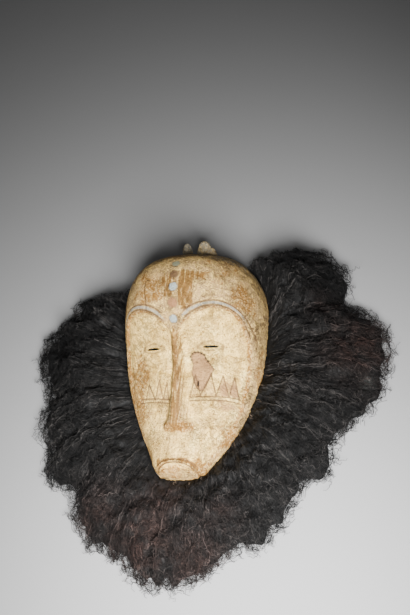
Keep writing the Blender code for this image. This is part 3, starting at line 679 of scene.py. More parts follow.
def open_slits(y, across, width_of, shift, length, tall):
    """Bends the rows of a grid round the two eye slits and gives the grid's Y values and its holes.

    The two rows next to a slit are moved onto the edges of a blunt lens: half its height is tall / 2 times one
    minus the fourth power of the distance from its middle over half its length. Rows further off are moved less, and not at
    all beyond SLIT_EASE.
    """
    rows = np.repeat(y[:, None], len(across), axis=1)
    holes = []
    for sign in (-1, 1):
        centre_x, centre_y = sign * (EYE[0] + shift[0]), EYE[1] + shift[1]
        low = int(np.searchsorted(y, centre_y)) - 1
        middle, gap = (y[low] + y[low + 1]) / 2, (y[low + 1] - y[low]) / 2
        off = width_of(middle) * across - centre_x
        within = np.flatnonzero(np.abs(off) < length / 2)
        lens = tall / 2 * (1 - (2 * off / length) ** SLIT_POWER)
        opening = np.where(np.abs(off) < length / 2, np.maximum(lens, 0.0002) - gap, 0.0)
        lift = centre_y - middle + math.tan(math.radians(EYE_TILT)) * sign * off
        lift *= 1 - smooth(length / 2, length / 2 + SLIT_EASE, np.abs(off))
        away = y[:, None] - middle
        rows += (1 - smooth(gap, SLIT_EASE, np.abs(away))) * (lift + np.sign(away) * opening)
        holes.append((low, within[0], within[-1]))
    return rows, holes


def hole_loop(index, places, hole):
    """Point numbers round a slit, and the turn at which each stands: upper edge first, then the lower."""
    row, first, last = hole
    upper, lower = index[row + 1, first:last + 1], index[row, first:last + 1]
    x_upper, x_lower = places[upper, 0], places[lower, 0]
    upper_turn = 0.01 + 0.48 * (x_upper - x_upper.min()) / np.ptp(x_upper)
    lower_turn = 0.51 + 0.48 * (x_lower.max() - x_lower) / np.ptp(x_lower)
    return np.concatenate([upper, lower]), np.concatenate([upper_turn, lower_turn])


def half_ring_grid(rows, across, up, width, rise, tuck):
    """Grid of half rings: x is the width times the width share, z the lift plus the rise times the height share.

    A first and a last column carry each ring down to the ground.
    """
    outer = [rows[:, :1], rows, rows[:, -1:]]
    y = np.concatenate(outer, axis=1)
    across = np.concatenate([[tuck], across, [-tuck]])
    up = np.concatenate([[0.0], up, [0.0]])
    points = np.stack([width(y) * across, y, RIM_LIFT + rise(y) * up], axis=-1)
    points[:, 0, 2] = 0.0
    points[:, -1, 2] = 0.0
    return points


def closed_by_poles(grid, skip):
    """Points, faces and ground loop of a grid of half rings that ends in a pole on the ground at each end."""
    rows, columns, _ = grid.shape
    size = rows * columns
    first, last = grid[0].mean(axis=0) * (1, 1, 0), grid[-1].mean(axis=0) * (1, 1, 0)
    first[1], last[1] = 2 * grid[0, 0, 1] - grid[1, 0, 1], 2 * grid[-1, 0, 1] - grid[-2, 0, 1]
    places = np.concatenate([grid.reshape(-1, 3), [first, last]])
    index = np.arange(size).reshape(rows, columns)
    fans = [np.stack([np.full(columns - 1, pole), ring[:-1], ring[1:]], axis=-1)
            for pole, ring in ((size, index[0]), (size + 1, index[-1]))]
    ground = np.concatenate([[size], index[:, 0], [size + 1], index[::-1, -1]])
    return places, grid_faces(rows, columns, skip), np.concatenate(fans), ground, index


def grid_normals(points):
    """Outward unit normals of a grid, from its two families of tangents."""
    normal = np.cross(np.gradient(points, axis=0), np.gradient(points, axis=1))
    normal /= np.maximum(np.linalg.norm(normal, axis=-1, keepdims=True), 1e-9)
    return normal if normal[len(points) // 2, points.shape[1] // 2, 2] > 0 else -normal


def hollow_width(y):
    near = np.stack([half_width(y - HOLLOW_NEAR), half_width(y), half_width(y + HOLLOW_NEAR)])
    return np.maximum(near.min(axis=0) - WALL, HOLLOW_LEAST)


def hollow_rise(y):
    near = np.stack([height(y - HOLLOW_NEAR), height(y), height(y + HOLLOW_NEAR)])
    return np.maximum(near.min(axis=0) - WALL, HOLLOW_LEAST)


def sight_back(azimuth, elevation):
    """Direction from the mask back to someone who looks at it: azimuth from -Y towards +X, both in radians."""
    level = math.cos(elevation)
    return np.array([math.sin(azimuth) * level, -math.cos(azimuth) * level, math.sin(elevation)])


def laid_plan(points):
    """Plan places of the marks that show at each carved point.

    The marks' places were read on the plain spindle, so each carved point is moved along the line of sight
    until it meets the plain spindle, and its place in plan is taken there.
    """
    back = sight_back(*MARKS_SEEN_FROM)
    moved = points.copy()
    for _ in range(5):
        below = top_over(moved[:, 0] - sway(moved[:, 1]), np.clip(moved[:, 1], -0.2745, 0.2745)) - moved[:, 2]
        moved += 0.7 * np.clip(below, -0.02, 0.02)[:, None] * back / back[2]
    return moved[:, :2]


def outer_shell(settings):
    """The carved outside: points, faces, ground loop, grid of point numbers, holes and paint shares."""
    y = face_rows()[1:-1]
    across, up = section(COLUMNS, MIDDLE_SHARE)
    rows, holes = open_slits(y, across, half_width, (0.0, 0.0), *EYE_SLIT)
    grid = half_ring_grid(rows, across, up, half_width, height, RIM_TUCK)
    normals = grid_normals(grid)
    flat = grid.reshape(-1, 3)
    grid = grid + normals * carving(flat).reshape(grid.shape[:2])[..., None]
    grid[..., 0] += sway(grid[..., 1])
    leaning = leaned(flat)
    into = into_face(leaning)
    plan = laid_plan(grid.reshape(-1, 3))
    marks = face_marks(plan)
    marks["lids"] = face_marks(flat[:, :2])["lids"]
    rough = settings.tool_marks * (waves(flat, 0.035, 3) + 0.5 * waves(flat, 0.012, 4))
    fine = (rough - settings.relief * fine_cuts(marks, into)) * smooth(0.0, 0.006, flat[:, 2])
    grid += normals * fine.reshape(grid.shape[:2])[..., None]
    grid[:, (0, -1), 2] = 0.0
    shares = paint(plan, leaning, into, marks, flat)
    holes = [(row, first + 1, last + 1) for row, first, last in holes]
    return closed_by_poles(grid, holes), holes, shares


def inner_shell(settings):
    """The gouged hollow: scallops run across it, deepest in their middles."""
    y = (even_rows(HOLLOW_ROWS) * (HALF_LENGTH - WALL) / HALF_LENGTH)[1:-1]
    across, up = section(HOLLOW_COLUMNS, 1.0)
    shift = INNER_SLIT[:2]
    rows, holes = open_slits(y, across, hollow_width, shift, *INNER_SLIT[2:])
    grid = half_ring_grid(rows, across, up, hollow_width, hollow_rise, 1.0)
    normals = grid_normals(grid)
    flat = grid.reshape(-1, 3)
    scallops = np.abs(np.sin(flat[:, 1] * 190 + 1.5 * waves(flat, 0.06, 11)))
    scallops = settings.gouge_marks * (scallops + 0.6 * waves(flat, 0.02, 12))
    grid = grid + normals * (scallops * smooth(0.0, 0.01, flat[:, 2])).reshape(grid.shape[:2])[..., None]
    grid[..., 0] += sway(grid[..., 1])
    grid[:, (0, -1), 2] = 0.0
    holes = [(row, first + 1, last + 1) for row, first, last in holes]
    return closed_by_poles(grid, holes), holes


def egg(centre, radii, rings=16, sides=26, seed=0):
    """Closed, slightly uneven ellipsoid with a short foot, tilted up: points, four-sided faces and end fans."""
    polar = np.linspace(0.0, math.pi, rings + 1)[1:-1, None]
    round_ = np.linspace(0.0, 2 * math.pi, sides, endpoint=False)[None, :]
    unit = np.stack([np.sin(polar) * np.cos(round_), np.cos(polar) * np.ones_like(round_),
                     np.sin(polar) * np.sin(round_)], axis=-1).reshape(-1, 3)
    unit = np.concatenate([unit, [(0, 1, 0), (0, -1, 0)]])
    unit *= (1 + 0.05 * waves(unit, 1.3, seed))[:, None]
    unit[:, 1] *= np.where(unit[:, 1] < 0, KNOB_FOOT, 1.0)
    tilt = np.array(Matrix.Rotation(math.radians(KNOB_TILT), 3, "X"))
    places = (unit * radii) @ tilt.T + centre
    index = np.arange((rings - 1) * sides).reshape(rings - 1, sides)
    after = np.roll(index, -1, axis=1)
    quads = np.stack([index[:-1], index[1:], after[1:], after[:-1]], axis=-1).reshape(-1, 4)
    top, bottom = index.size, index.size + 1
    fans = np.concatenate([np.stack([np.full(sides, top), index[0], after[0]], axis=-1),
                           np.stack([np.full(sides, bottom), after[-1], index[-1]], axis=-1)])
    return places, quads, fans


def carve_wood(settings):
    """One closed mesh of the whole carving: outside, hollow, flat rim, eye slits and knobs."""
    (outer, quads, fans, ground, index), holes, shares = outer_shell(settings)
    (inner, inner_quads, inner_fans, inner_ground, inner_index), inner_holes = inner_shell(settings)
    start = len(outer)
    places = np.concatenate([outer, inner])
    turn = [np.arctan2(p[:, 1], p[:, 0]) / (2 * math.pi) % 1 for p in (outer[ground], inner[inner_ground])]
    joins = [bridge(ground, turn[0], inner_ground + start, turn[1])]
    for hole, inner_hole in zip(holes, inner_holes):
        near, near_turn = hole_loop(index, outer, hole)
        far, far_turn = hole_loop(inner_index, inner, inner_hole)
        joins.append(bridge(near, near_turn, far + start, far_turn))
    bare = [inner_quads + start, inner_fans + start] + joins
    skin = [quads, fans]
    knob_starts = []
    for number, knob in enumerate(KNOBS):
        knob_starts.append(len(places))
        knob_places, knob_quads, knob_fans = egg(np.array(knob[:3]), np.array(knob[3:]), seed=20 + number)
        skin += [knob_quads + len(places), knob_fans + len(places)]
        places = np.concatenate([places, knob_places])
    first_knob, second_knob = knob_starts[:2]
    mesh = new_mesh("carved_mask", places + np.array(mask_centre()), *skin, *bare)
    painted = sum(len(faces) for faces in skin)
    total = painted + sum(len(faces) for faces in bare)
    mesh.polygons.foreach_set("material_index", (np.arange(total) >= painted).astype(np.int32))
    face_outwards(mesh)
    for name, values in shares.items():
        rest = np.full(len(places) - len(values), 0.15 if name == "kaolin" else 0.0)
        if name == "blue":
            rest[first_knob - len(values):] = KNOB_BLUE
            rest[first_knob - len(values):second_knob - len(values)] = LEFT_KNOB_BLUE
        set_attribute(mesh, name, np.concatenate([values, rest]))
    mesh.shade_smooth()
    mesh.set_sharp_from_angle(angle=math.radians(48))
    return mesh


# Fibres
def rim_reach(bearing):
    """Distance from the mask's centre to its rim along each bearing, in plan."""
    y = even_rows(400)
    x = np.concatenate([sway(y) + half_width(y), sway(y) - half_width(y)])
    y = np.concatenate([y, y])
    return np.interp(bearing, np.arctan2(y, x), np.hypot(x, y), period=2 * math.pi)


def clumps(plan):
    """Tufts that all hanks share: one plus two sizes of uneven waves in plan."""
    tall = sum(depth * np.clip(waves(plan, size, seed), -1.2, 1.0)
               for seed, (size, depth) in enumerate(zip(CLUMP_SIZES, CLUMP_DEPTHS), start=60))
    return 1.0 + tall - 0.05


def hank_place(hank, number, share, run, deep, stretch=1.0):
    """Point in a hank: share across it (-1 to 1), run along it (0 to 1) and deep up its thickness (0 to 1)."""
    start, end, thick = hank
    degrees = (start + end) / 2 + (end - start) / 2 * share
    bearing = np.radians(degrees)
    near = rim_reach(bearing) + HANK_RIM_GAP
    far = through(FRINGE_REACH, np.clip(degrees, FRINGE_REACH[0, 0], FRINGE_REACH[-1, 0])) * stretch
    radius = near + (far - near) * run
    x, y = radius * np.cos(bearing), radius * np.sin(bearing)
    lump = HANK_SHIFT * number
    waves_along, waves_across = HANK_LUMP_WAVES
    lumps = 1 + HANK_LUMP * np.sin(waves_along * run + lump) * np.cos(waves_across * share + 2 * lump)
    rounding = HANK_SHOULDER + (1 - HANK_SHOULDER) * (1 - np.minimum(share ** 2, 1.0))
    z = thick * rounding * through(HANK_PROFILE, np.clip(run, 0.0, 1.0)) * lumps * deep
    tufts = clumps(np.stack([x, y], axis=-1).reshape(-1, 2)).reshape(x.shape)
    return np.stack([x, y, z * tufts], axis=-1)


def edge_tufts(degrees):
    """Share of the fringe's reach at which its edge stands: it goes in and out in tufts."""
    ring = through(FRINGE_REACH, degrees)[..., None] * np.stack([np.cos(np.radians(degrees)),
                                                                 np.sin(np.radians(degrees))], axis=-1)
    return 1 + EDGE_TUFT * (waves(ring.reshape(-1, 2), EDGE_TUFT_SIZE, 90).reshape(degrees.shape) - 0.5)


def gap_share(plan):
    """1 in the middle of a dark gap between locks, falling to 0 outside it."""
    return np.max([bump(np.hypot(plan[..., 0] - x, plan[..., 1] - y), reach) for x, y, reach in GAPS], axis=0)


def thin_share(plan):
    """1 where the fringe is so thin that the ground nearly shows."""
    x, y, reach = THIN_SPOT
    return 1 - smooth(0.5, 1.1, np.hypot(plan[..., 0] - x, plan[..., 1] - y) / reach)


def hank_area(hank):
    """Area that a hank covers in plan."""
    degrees = np.linspace(hank[0], hank[1], 20)
    near = rim_reach(np.radians(degrees)) + HANK_RIM_GAP
    wedge = np.radians(hank[1] - hank[0]) / 2
    return wedge * np.mean(through(FRINGE_REACH, degrees) ** 2 - near ** 2)


def tubes(paths, radii):
    """Three-sided closed tubes along many paths at once: points, four-sided faces and end triangles.

    At each path point three corners stand a third of a turn apart round the tangent.
    """
    count, steps, _ = paths.shape
    along = np.gradient(paths, axis=1)
    along /= np.maximum(np.linalg.norm(along, axis=-1, keepdims=True), 1e-9)
    side = np.cross(along, (0.0, 0.0, 1.0))
    side /= np.maximum(np.linalg.norm(side, axis=-1, keepdims=True), 1e-9)
    over = np.cross(side, along)
    corners = [math.cos(t) * side + math.sin(t) * over for t in (math.pi / 2, math.pi * 7 / 6, math.pi * 11 / 6)]
    rings = paths[:, :, None, :] + radii[:, :, None, None] * np.stack(corners, axis=2)
    index = np.arange(count * steps * 3).reshape(count, steps, 3)
    after = np.roll(index, -1, axis=2)
    quads = np.stack([index[:, :-1], index[:, 1:], after[:, 1:], after[:, :-1]], axis=-1).reshape(-1, 4)
    ends = np.concatenate([index[:, 0], index[:, -1, ::-1]])
    return rings.reshape(-1, 3), quads, ends


def held_in(paths):
    """Paths drawn back where they stray past the fringe's outline, of which they keep a share, and off the ground."""
    degrees = np.degrees(np.arctan2(paths[..., 1], paths[..., 0]))
    degrees = np.where(degrees > FRINGE_REACH[-1, 0] + 40, degrees - 360, degrees)
    degrees = np.clip(degrees, FRINGE_REACH[0, 0], FRINGE_REACH[-1, 0])
    reach = through(FRINGE_REACH, degrees) * edge_tufts(degrees)
    radius = np.hypot(paths[..., 0], paths[..., 1])
    held = np.where(radius > reach, reach + STRAY_SHARE * (radius - reach), radius)
    paths[..., :2] *= (held / radius)[..., None]
    paths[..., 2] = np.maximum(paths[..., 2], LEAST_HEIGHT)
    return paths


def long_strands(draws, hank, number, count, radius):
    """Fibres that run from the rim outwards in locks, which wander together, each fibre with its own crimp."""
    locks = max(count // 12, 1)
    lock = draws.integers(0, locks, count)
    lock_share = draws.uniform(-1.02, 1.02, locks)
    lock_deep = draws.uniform(0.90, 1.06, locks)
    lock_tone = draws.lognormal(0.0, 0.45, locks)
    swing = draws.uniform(0.03, 0.20, locks)
    beat = draws.uniform(0.5, 1.8, locks)
    phase = draws.uniform(0, 2 * math.pi, (locks, 2))
    t = np.linspace(0.0, 1.0, STRAND_STEPS)[None, :]
    begin = draws.uniform(0.0, 0.75, count) ** 1.3
    length = draws.uniform(0.25, 0.55, count)
    run = begin[:, None] + np.minimum(length, 1.0 - begin)[:, None] * t
    crimp = draws.normal(0.0, 1.0, (3, count, STRAND_STEPS))
    share = (lock_share[lock] + draws.normal(0, 0.07, count))[:, None]
    share = share + swing[lock][:, None] * np.sin(2 * math.pi * beat[lock][:, None] * run + phase[lock, :1])
    share = share + 0.026 * crimp[0] * (0.4 + run)
    deep = (lock_deep[lock] + draws.uniform(-0.06, 0.06, count))[:, None] + 0.035 * crimp[1]
    deep = deep * (1 - 0.25 * smooth(0.7, 1.0, t))
    paths = held_in(hank_place(hank, number, share, run + 0.006 * crimp[2], deep))
    thin = radius * draws.uniform(0.6, 1.2, (count, 1)) * (1 - 0.5 * t ** 3)
    tone = np.clip(draws.lognormal(-1.75, 0.85, count) * lock_tone[lock], 0.0, 0.95)
    return paths, thin, tone


def short_curls(draws, hank, number, count, radius, kink):
    """Frizz: short kinked fibres that lie on the hank, each a walk of equal steps that turns a little each time.

    They head outwards near the rim and every way further out.
    """
    begin = np.sqrt(draws.uniform(0.0, 0.98, count))
    share = draws.uniform(-1.02, 1.02, count)
    base = hank_place(hank, number, share, begin, 1.0)
    freedom = 0.35 + 0.9 * smooth(0.25, 0.75, begin)
    heading = np.arctan2(base[:, 1], base[:, 0]) + draws.normal(0.0, 1.0, count) * freedom
    turns = draws.normal(0.0, kink, (count, CURL_STEPS)) * (0.45 + 0.55 * freedom)[:, None]
    angle = heading[:, None] + np.cumsum(turns, axis=1) * 0.62 + 0.45 * turns
    step = (draws.uniform(0.030, 0.062, count) / (CURL_STEPS - 1))[:, None]
    x = base[:, :1] + np.cumsum(np.cos(angle) * step, axis=1)
    y = base[:, 1:2] + np.cumsum(np.sin(angle) * step, axis=1)
    bearing = np.degrees(np.arctan2(y, x))
    bearing = np.where(bearing > FRINGE_REACH[-1, 0] + 40, bearing - 360, bearing)
    near = rim_reach(np.radians(bearing)) + HANK_RIM_GAP
    far = through(FRINGE_REACH, np.clip(bearing, FRINGE_REACH[0, 0], FRINGE_REACH[-1, 0]))
    run = (np.hypot(x, y) - near) / (far - near)
    across = (bearing - (hank[0] + hank[1]) / 2) / ((hank[1] - hank[0]) / 2)
    deep = (0.89 + 0.17 * draws.uniform(0.0, 1.0, count) ** 1.5)[:, None]
    deep = deep + 0.05 * draws.normal(size=(count, CURL_STEPS))
    top = hank_place(hank, number, np.clip(across, -1.2, 1.2), np.clip(run, 0.0, 1.0), deep)
    loft = 0.0025 * draws.normal(size=(count, CURL_STEPS)) + 0.004 * np.maximum(draws.normal(size=(count, 1)), 0.0)
    t = np.linspace(0.0, 1.0, CURL_STEPS)[None, :]
    paths = held_in(np.stack([x, y, top[..., 2] + loft * np.sin(math.pi * t)], axis=-1))
    thin = radius * draws.uniform(0.6, 1.15, (count, 1)) * (1 - 0.45 * t ** 2)
    tone = np.clip(draws.lognormal(-1.85, 0.9, count), 0.0, 0.95)
    kept = draws.uniform(0.0, 1.0, count) > 0.88 * np.maximum(thin_share(base), 0.7 * gap_share(base))
    return paths[kept], thin[kept], tone[kept]


def rim_knots(draws, hank, number, radius):
    """Short pale ends of the ties, close to the rim."""
    count = RIM_KNOTS.get(number, 0)
    t = np.linspace(0.0, 1.0, CURL_STEPS)[None, :]
    run = draws.uniform(0.0, 0.04, (count, 1)) + draws.uniform(0.03, 0.08, (count, 1)) * t
    share = draws.uniform(-0.95, 0.95, (count, 1)) + 0.04 * np.sin(2 * math.pi * t + draws.uniform(0, 6, (count, 1)))
    paths = held_in(hank_place(hank, number, share, run, 1.12 + 0.25 * np.sin(math.pi * t) + 0 * share))
    return paths, radius * 0.9 * np.ones_like(share), np.ones(count)


def core_form(hank, number):
    """The packed inside of a hank, painted near black in make_hank as dark dye and painted shade of the fringe's
    depth: the hank's own form, a little smaller, with rough tufts on top.
    """
    across, along = CORE_STEPS
    share = np.linspace(-1.0, 1.0, across + 1)[:, None] * 0.99
    run = np.linspace(0.0, 1.0, along + 1)[None, :]
    degrees = (hank[0] + hank[1]) / 2 + (hank[1] - hank[0]) / 2 * share
    ragged = CORE_REACH * edge_tufts(degrees)
    deep = CORE_RISE * (1 - 0.45 * smooth(0.88, 1.0, run))
    top = hank_place(hank, number, share + 0 * run, run + 0 * share, deep + 0 * share, ragged + 0 * run)
    rough = 0.0028 * waves(top[..., :2].reshape(-1, 2), 0.013, 40 + number).reshape(top.shape[:2])
    sunk = (1 - 0.45 * gap_share(top)) * (1 - 0.92 * thin_share(top))
    top[..., 2] = np.maximum((top[..., 2] + rough) * sunk, 0.002)
    floor = top * (1.0, 1.0, 0.0) + (0.0, 0.0, 0.0006)
    size = top.shape[0] * top.shape[1]
    index = np.arange(size).reshape(top.shape[:2])
    edge = np.concatenate([index[:, 0], index[-1, 1:], index[-2::-1, -1], index[0, -2:0:-1]])
    after = np.roll(edge, -1)
    walls = np.stack([edge, after, after + size, edge + size], axis=-1)
    quads = grid_faces(*top.shape[:2])
    faces = np.concatenate([quads, quads[:, ::-1] + size, walls])
    return np.concatenate([top.reshape(-1, 3), floor.reshape(-1, 3)]), faces


def rust_share(points):
    """Where the dye has turned reddish: soft round areas in plan."""
    return np.max([share * bump(np.hypot(points[:, 0] - x, points[:, 1] - y), reach)
                   for x, y, reach, share in RUST_SPOTS], axis=0)


def make_hank(number, hank, settings, centre):
    """Mesh of one hank: its core, its long strands and its curls, with tone and rust for every point."""
    draws = np.random.default_rng(settings.seed * 100 + number)
    core, core_faces = core_form(hank, number)
    area = hank_area(hank)
    groups = [long_strands(draws, hank, number, int(settings.strands * area), settings.fibre_radius),
              short_curls(draws, hank, number, int(settings.curls * area), settings.fibre_radius, settings.kink)]
    if number in RIM_KNOTS:
        groups.append(rim_knots(draws, hank, number, settings.fibre_radius))
    places, quads, ends = [core], [core_faces], []
    # The packed inside takes the lowest tone: near black, dark dye with painted shade of the fringe's depth
    tones, packed = [np.full(len(core), 0.02)], [np.ones(len(core))]
    start = len(core)
    for paths, radii, tone in groups:
        points, tube_quads, tube_ends = tubes(paths, radii)
        places.append(points)
        quads.append(tube_quads + start)
        ends.append(tube_ends + start)
        tones.append(np.repeat(tone, paths.shape[1] * 3))
        packed.append(np.zeros(len(points)))
        start += len(points)
    places = np.concatenate(places)
    mesh = new_mesh("raffia_%02d" % number, places + np.array(centre), np.concatenate(quads), np.concatenate(ends))
    face_outwards(mesh)
    packed = np.concatenate(packed)
    # Fibre tones drop by up to three quarters in the gaps between locks: painted shade
    set_attribute(mesh, "tone", np.concatenate(tones) * (1 - 0.75 * gap_share(places)))
    set_attribute(mesh, "packed", packed)
    set_attribute(mesh, "thin", packed * thin_share(places))
    set_attribute(mesh, "rust", rust_share(places))
    mesh.shade_smooth()
    return mesh


# Materials
def add(tree, kind, inputs=None, **settings):
    """New node with its settings; an input that is given a socket is linked to it, any other is set."""
    node = tree.nodes.new(kind)
    for key, value in settings.items():
        setattr(node, key, value)
    for key, value in (inputs or {}).items():
        if isinstance(value, bpy.types.NodeSocket):
            tree.links.new(value, node.inputs[key])
        else:
            node.inputs[key].default_value = value
    return node


def calc(tree, operation, a, b=0.0):
    node = add(tree, "ShaderNodeMath", operation=operation)
    for socket, value in zip(node.inputs, (a, b)):
        if isinstance(value, bpy.types.NodeSocket):
            tree.links.new(value, socket)
        else:
            socket.default_value = value
    return node.outputs[0]


def mix(tree, factor, a, b, mode="MIX"):
    """Mix of two colours; each may be a socket or a colour."""
    node = add(tree, "ShaderNodeMix", data_type="RGBA", blend_type=mode)
    for socket, value in ((node.inputs[0], factor), (node.inputs[6], a), (node.inputs[7], b)):
        if isinstance(value, bpy.types.NodeSocket):
            tree.links.new(value, socket)
        elif socket.type == "RGBA":
            socket.default_value = (*value[:3], 1.0)
        else:
            socket.default_value = value
    return node.outputs[2]


def ramp(tree, value, low, high, start=0.0, end=1.0):
    """The value's place between low and high, as a smooth step from start to end."""
    inputs = {"Value": value, "From Min": low, "From Max": high, "To Min": start, "To Max": end}
    return add(tree, "ShaderNodeMapRange", inputs, interpolation_type="SMOOTHSTEP").outputs[0]


def noise(tree, vector, scale, detail=4.0, distortion=0.0, rough=0.55):
    inputs = {"Vector": vector, "Scale": scale, "Detail": detail, "Distortion": distortion, "Roughness": rough}
    return add(tree, "ShaderNodeTexNoise", inputs).outputs["Fac"]


def stretched(tree, vector, scale):
    return add(tree, "ShaderNodeMapping", {"Vector": vector, "Scale": scale}).outputs["Vector"]


def share_of(tree, name):
    return add(tree, "ShaderNodeAttribute", attribute_name=name).outputs["Fac"]


def object_place(tree):
    return add(tree, "ShaderNodeTexCoord").outputs["Object"]


def new_group(name, inputs, outputs):
    """Empty shader node group with named sockets."""
    group = bpy.data.node_groups.new(name, "ShaderNodeTree")
    for title, kind, default in inputs:
        socket = group.interface.new_socket(title, in_out="INPUT", socket_type=kind)
        if default is not None:
            socket.default_value = default
    for title, kind in outputs:
        group.interface.new_socket(title, in_out="OUTPUT", socket_type=kind)
    return group, group.nodes.new("NodeGroupInput").outputs, group.nodes.new("NodeGroupOutput").inputs


def worn_paint_group():
    """A paint share broken up at its edge and rubbed through, by noise at two sizes."""
    group, given, result = new_group(
        "worn_paint", (("Share", "NodeSocketFloat", 0.0), ("Vector", "NodeSocketVector", None),
                       ("Scale", "NodeSocketFloat", 60.0), ("Wear", "NodeSocketFloat", 0.5)),
        (("Share", "NodeSocketFloat"),))
    broad = noise(group, given["Vector"], given["Scale"], 5.0, 0.6)
    fine = noise(group, given["Vector"], calc(group, "MULTIPLY", given["Scale"], 6.0), 3.0, 1.0)
    worn = calc(group, "ADD", calc(group, "MULTIPLY", broad, 0.65), calc(group, "MULTIPLY", fine, 0.35))
    worn = calc(group, "MULTIPLY", calc(group, "SUBTRACT", worn, 0.5), calc(group, "MULTIPLY", given["Wear"], 3.2))
    raised = calc(group, "ADD", given["Share"], calc(group, "MULTIPLY", worn, ramp(group, given["Share"], 0.0, 0.35)))
    group.links.new(ramp(group, raised, 0.12, 0.95), result["Share"])
    return group


def wrinkle_group():
    """Fine wandering wrinkles and pits, as in dried clay: a line share and a height."""
    group, given, result = new_group(
        "clay_wrinkles", (("Vector", "NodeSocketVector", None), ("Scale", "NodeSocketFloat", 120.0),
                          ("Width", "NodeSocketFloat", 0.035)),
        (("Lines", "NodeSocketFloat"), ("Height", "NodeSocketFloat")))
    worm = noise(group, given["Vector"], given["Scale"], 3.0, 1.8, 0.55)
    lines = ramp(group, calc(group, "ABSOLUTE", calc(group, "SUBTRACT", worm, 0.5)), 0.0, given["Width"], 1.0, 0.0)
    gate = ramp(group, noise(group, given["Vector"], calc(group, "MULTIPLY", given["Scale"], 0.22), 2.0), 0.42, 0.62)
    lines = calc(group, "MULTIPLY", lines, gate)
    pits = noise(group, given["Vector"], calc(group, "MULTIPLY", given["Scale"], 4.0), 3.0)
    deep = calc(group, "SUBTRACT", calc(group, "MULTIPLY", pits, 0.5), lines)
    group.links.new(lines, result["Lines"])
    group.links.new(deep, result["Height"])
    return group


def grain_group():
    """Wood grain along Y: noise stretched along the trunk, as a share and a height."""
    group, given, result = new_group(
        "wood_grain", (("Vector", "NodeSocketVector", None), ("Scale", "NodeSocketFloat", 1.0)),
        (("Grain", "NodeSocketFloat"), ("Height", "NodeSocketFloat")))
    along = stretched(group, given["Vector"], (230.0, 9.0, 160.0))
    scaled = add(group, "ShaderNodeVectorMath", {0: along, "Scale": given["Scale"]}, operation="SCALE").outputs[0]
    fibre = noise(group, scaled, 1.0, 5.0, 0.4)
    group.links.new(ramp(group, fibre, 0.36, 0.66), result["Grain"])
    group.links.new(fibre, result["Height"])
    return group


def dot_group():
    """A painted round dot: inside a radius of its centre, with an uneven edge."""
    group, given, result = new_group(
        "painted_dot", (("Vector", "NodeSocketVector", None), ("Centre", "NodeSocketVector", None),
                        ("Radius", "NodeSocketFloat", 0.011)), (("Share", "NodeSocketFloat"),))
    away = add(group, "ShaderNodeVectorMath", {0: given["Vector"], 1: given["Centre"]}, operation="DISTANCE")
    uneven = calc(group, "MULTIPLY", calc(group, "SUBTRACT", noise(group, given["Vector"], 150.0, 3.0), 0.5), 0.006)
    reached = calc(group, "DIVIDE", calc(group, "ADD", away.outputs["Value"], uneven), given["Radius"])
    group.links.new(ramp(group, reached, 0.66, 1.08, 1.0, 0.0), result["Share"])
    return group


def use(tree, group, **inputs):
    node = tree.nodes.new("ShaderNodeGroup")
    node.node_tree = group
    for key, value in inputs.items():
        if isinstance(value, bpy.types.NodeSocket):
            tree.links.new(value, node.inputs[key])
        else:
            node.inputs[key].default_value = value
    return node.outputs


def new_material(name, roughness, specular=0.3):
    material = bpy.data.materials.new(name)
    material.use_nodes = True
    tree = material.node_tree
    shader = tree.nodes["Principled BSDF"]
    shader.inputs["Roughness"].default_value = roughness
    shader.inputs["Specular IOR Level"].default_value = specular
    return material, tree, shader


def set_bump(tree, shader, raised, distance, strength=1.0):
    bumped = add(tree, "ShaderNodeBump", {"Height": raised, "Distance": distance, "Strength": strength})
    tree.links.new(bumped.outputs["Normal"], shader.inputs["Normal"])


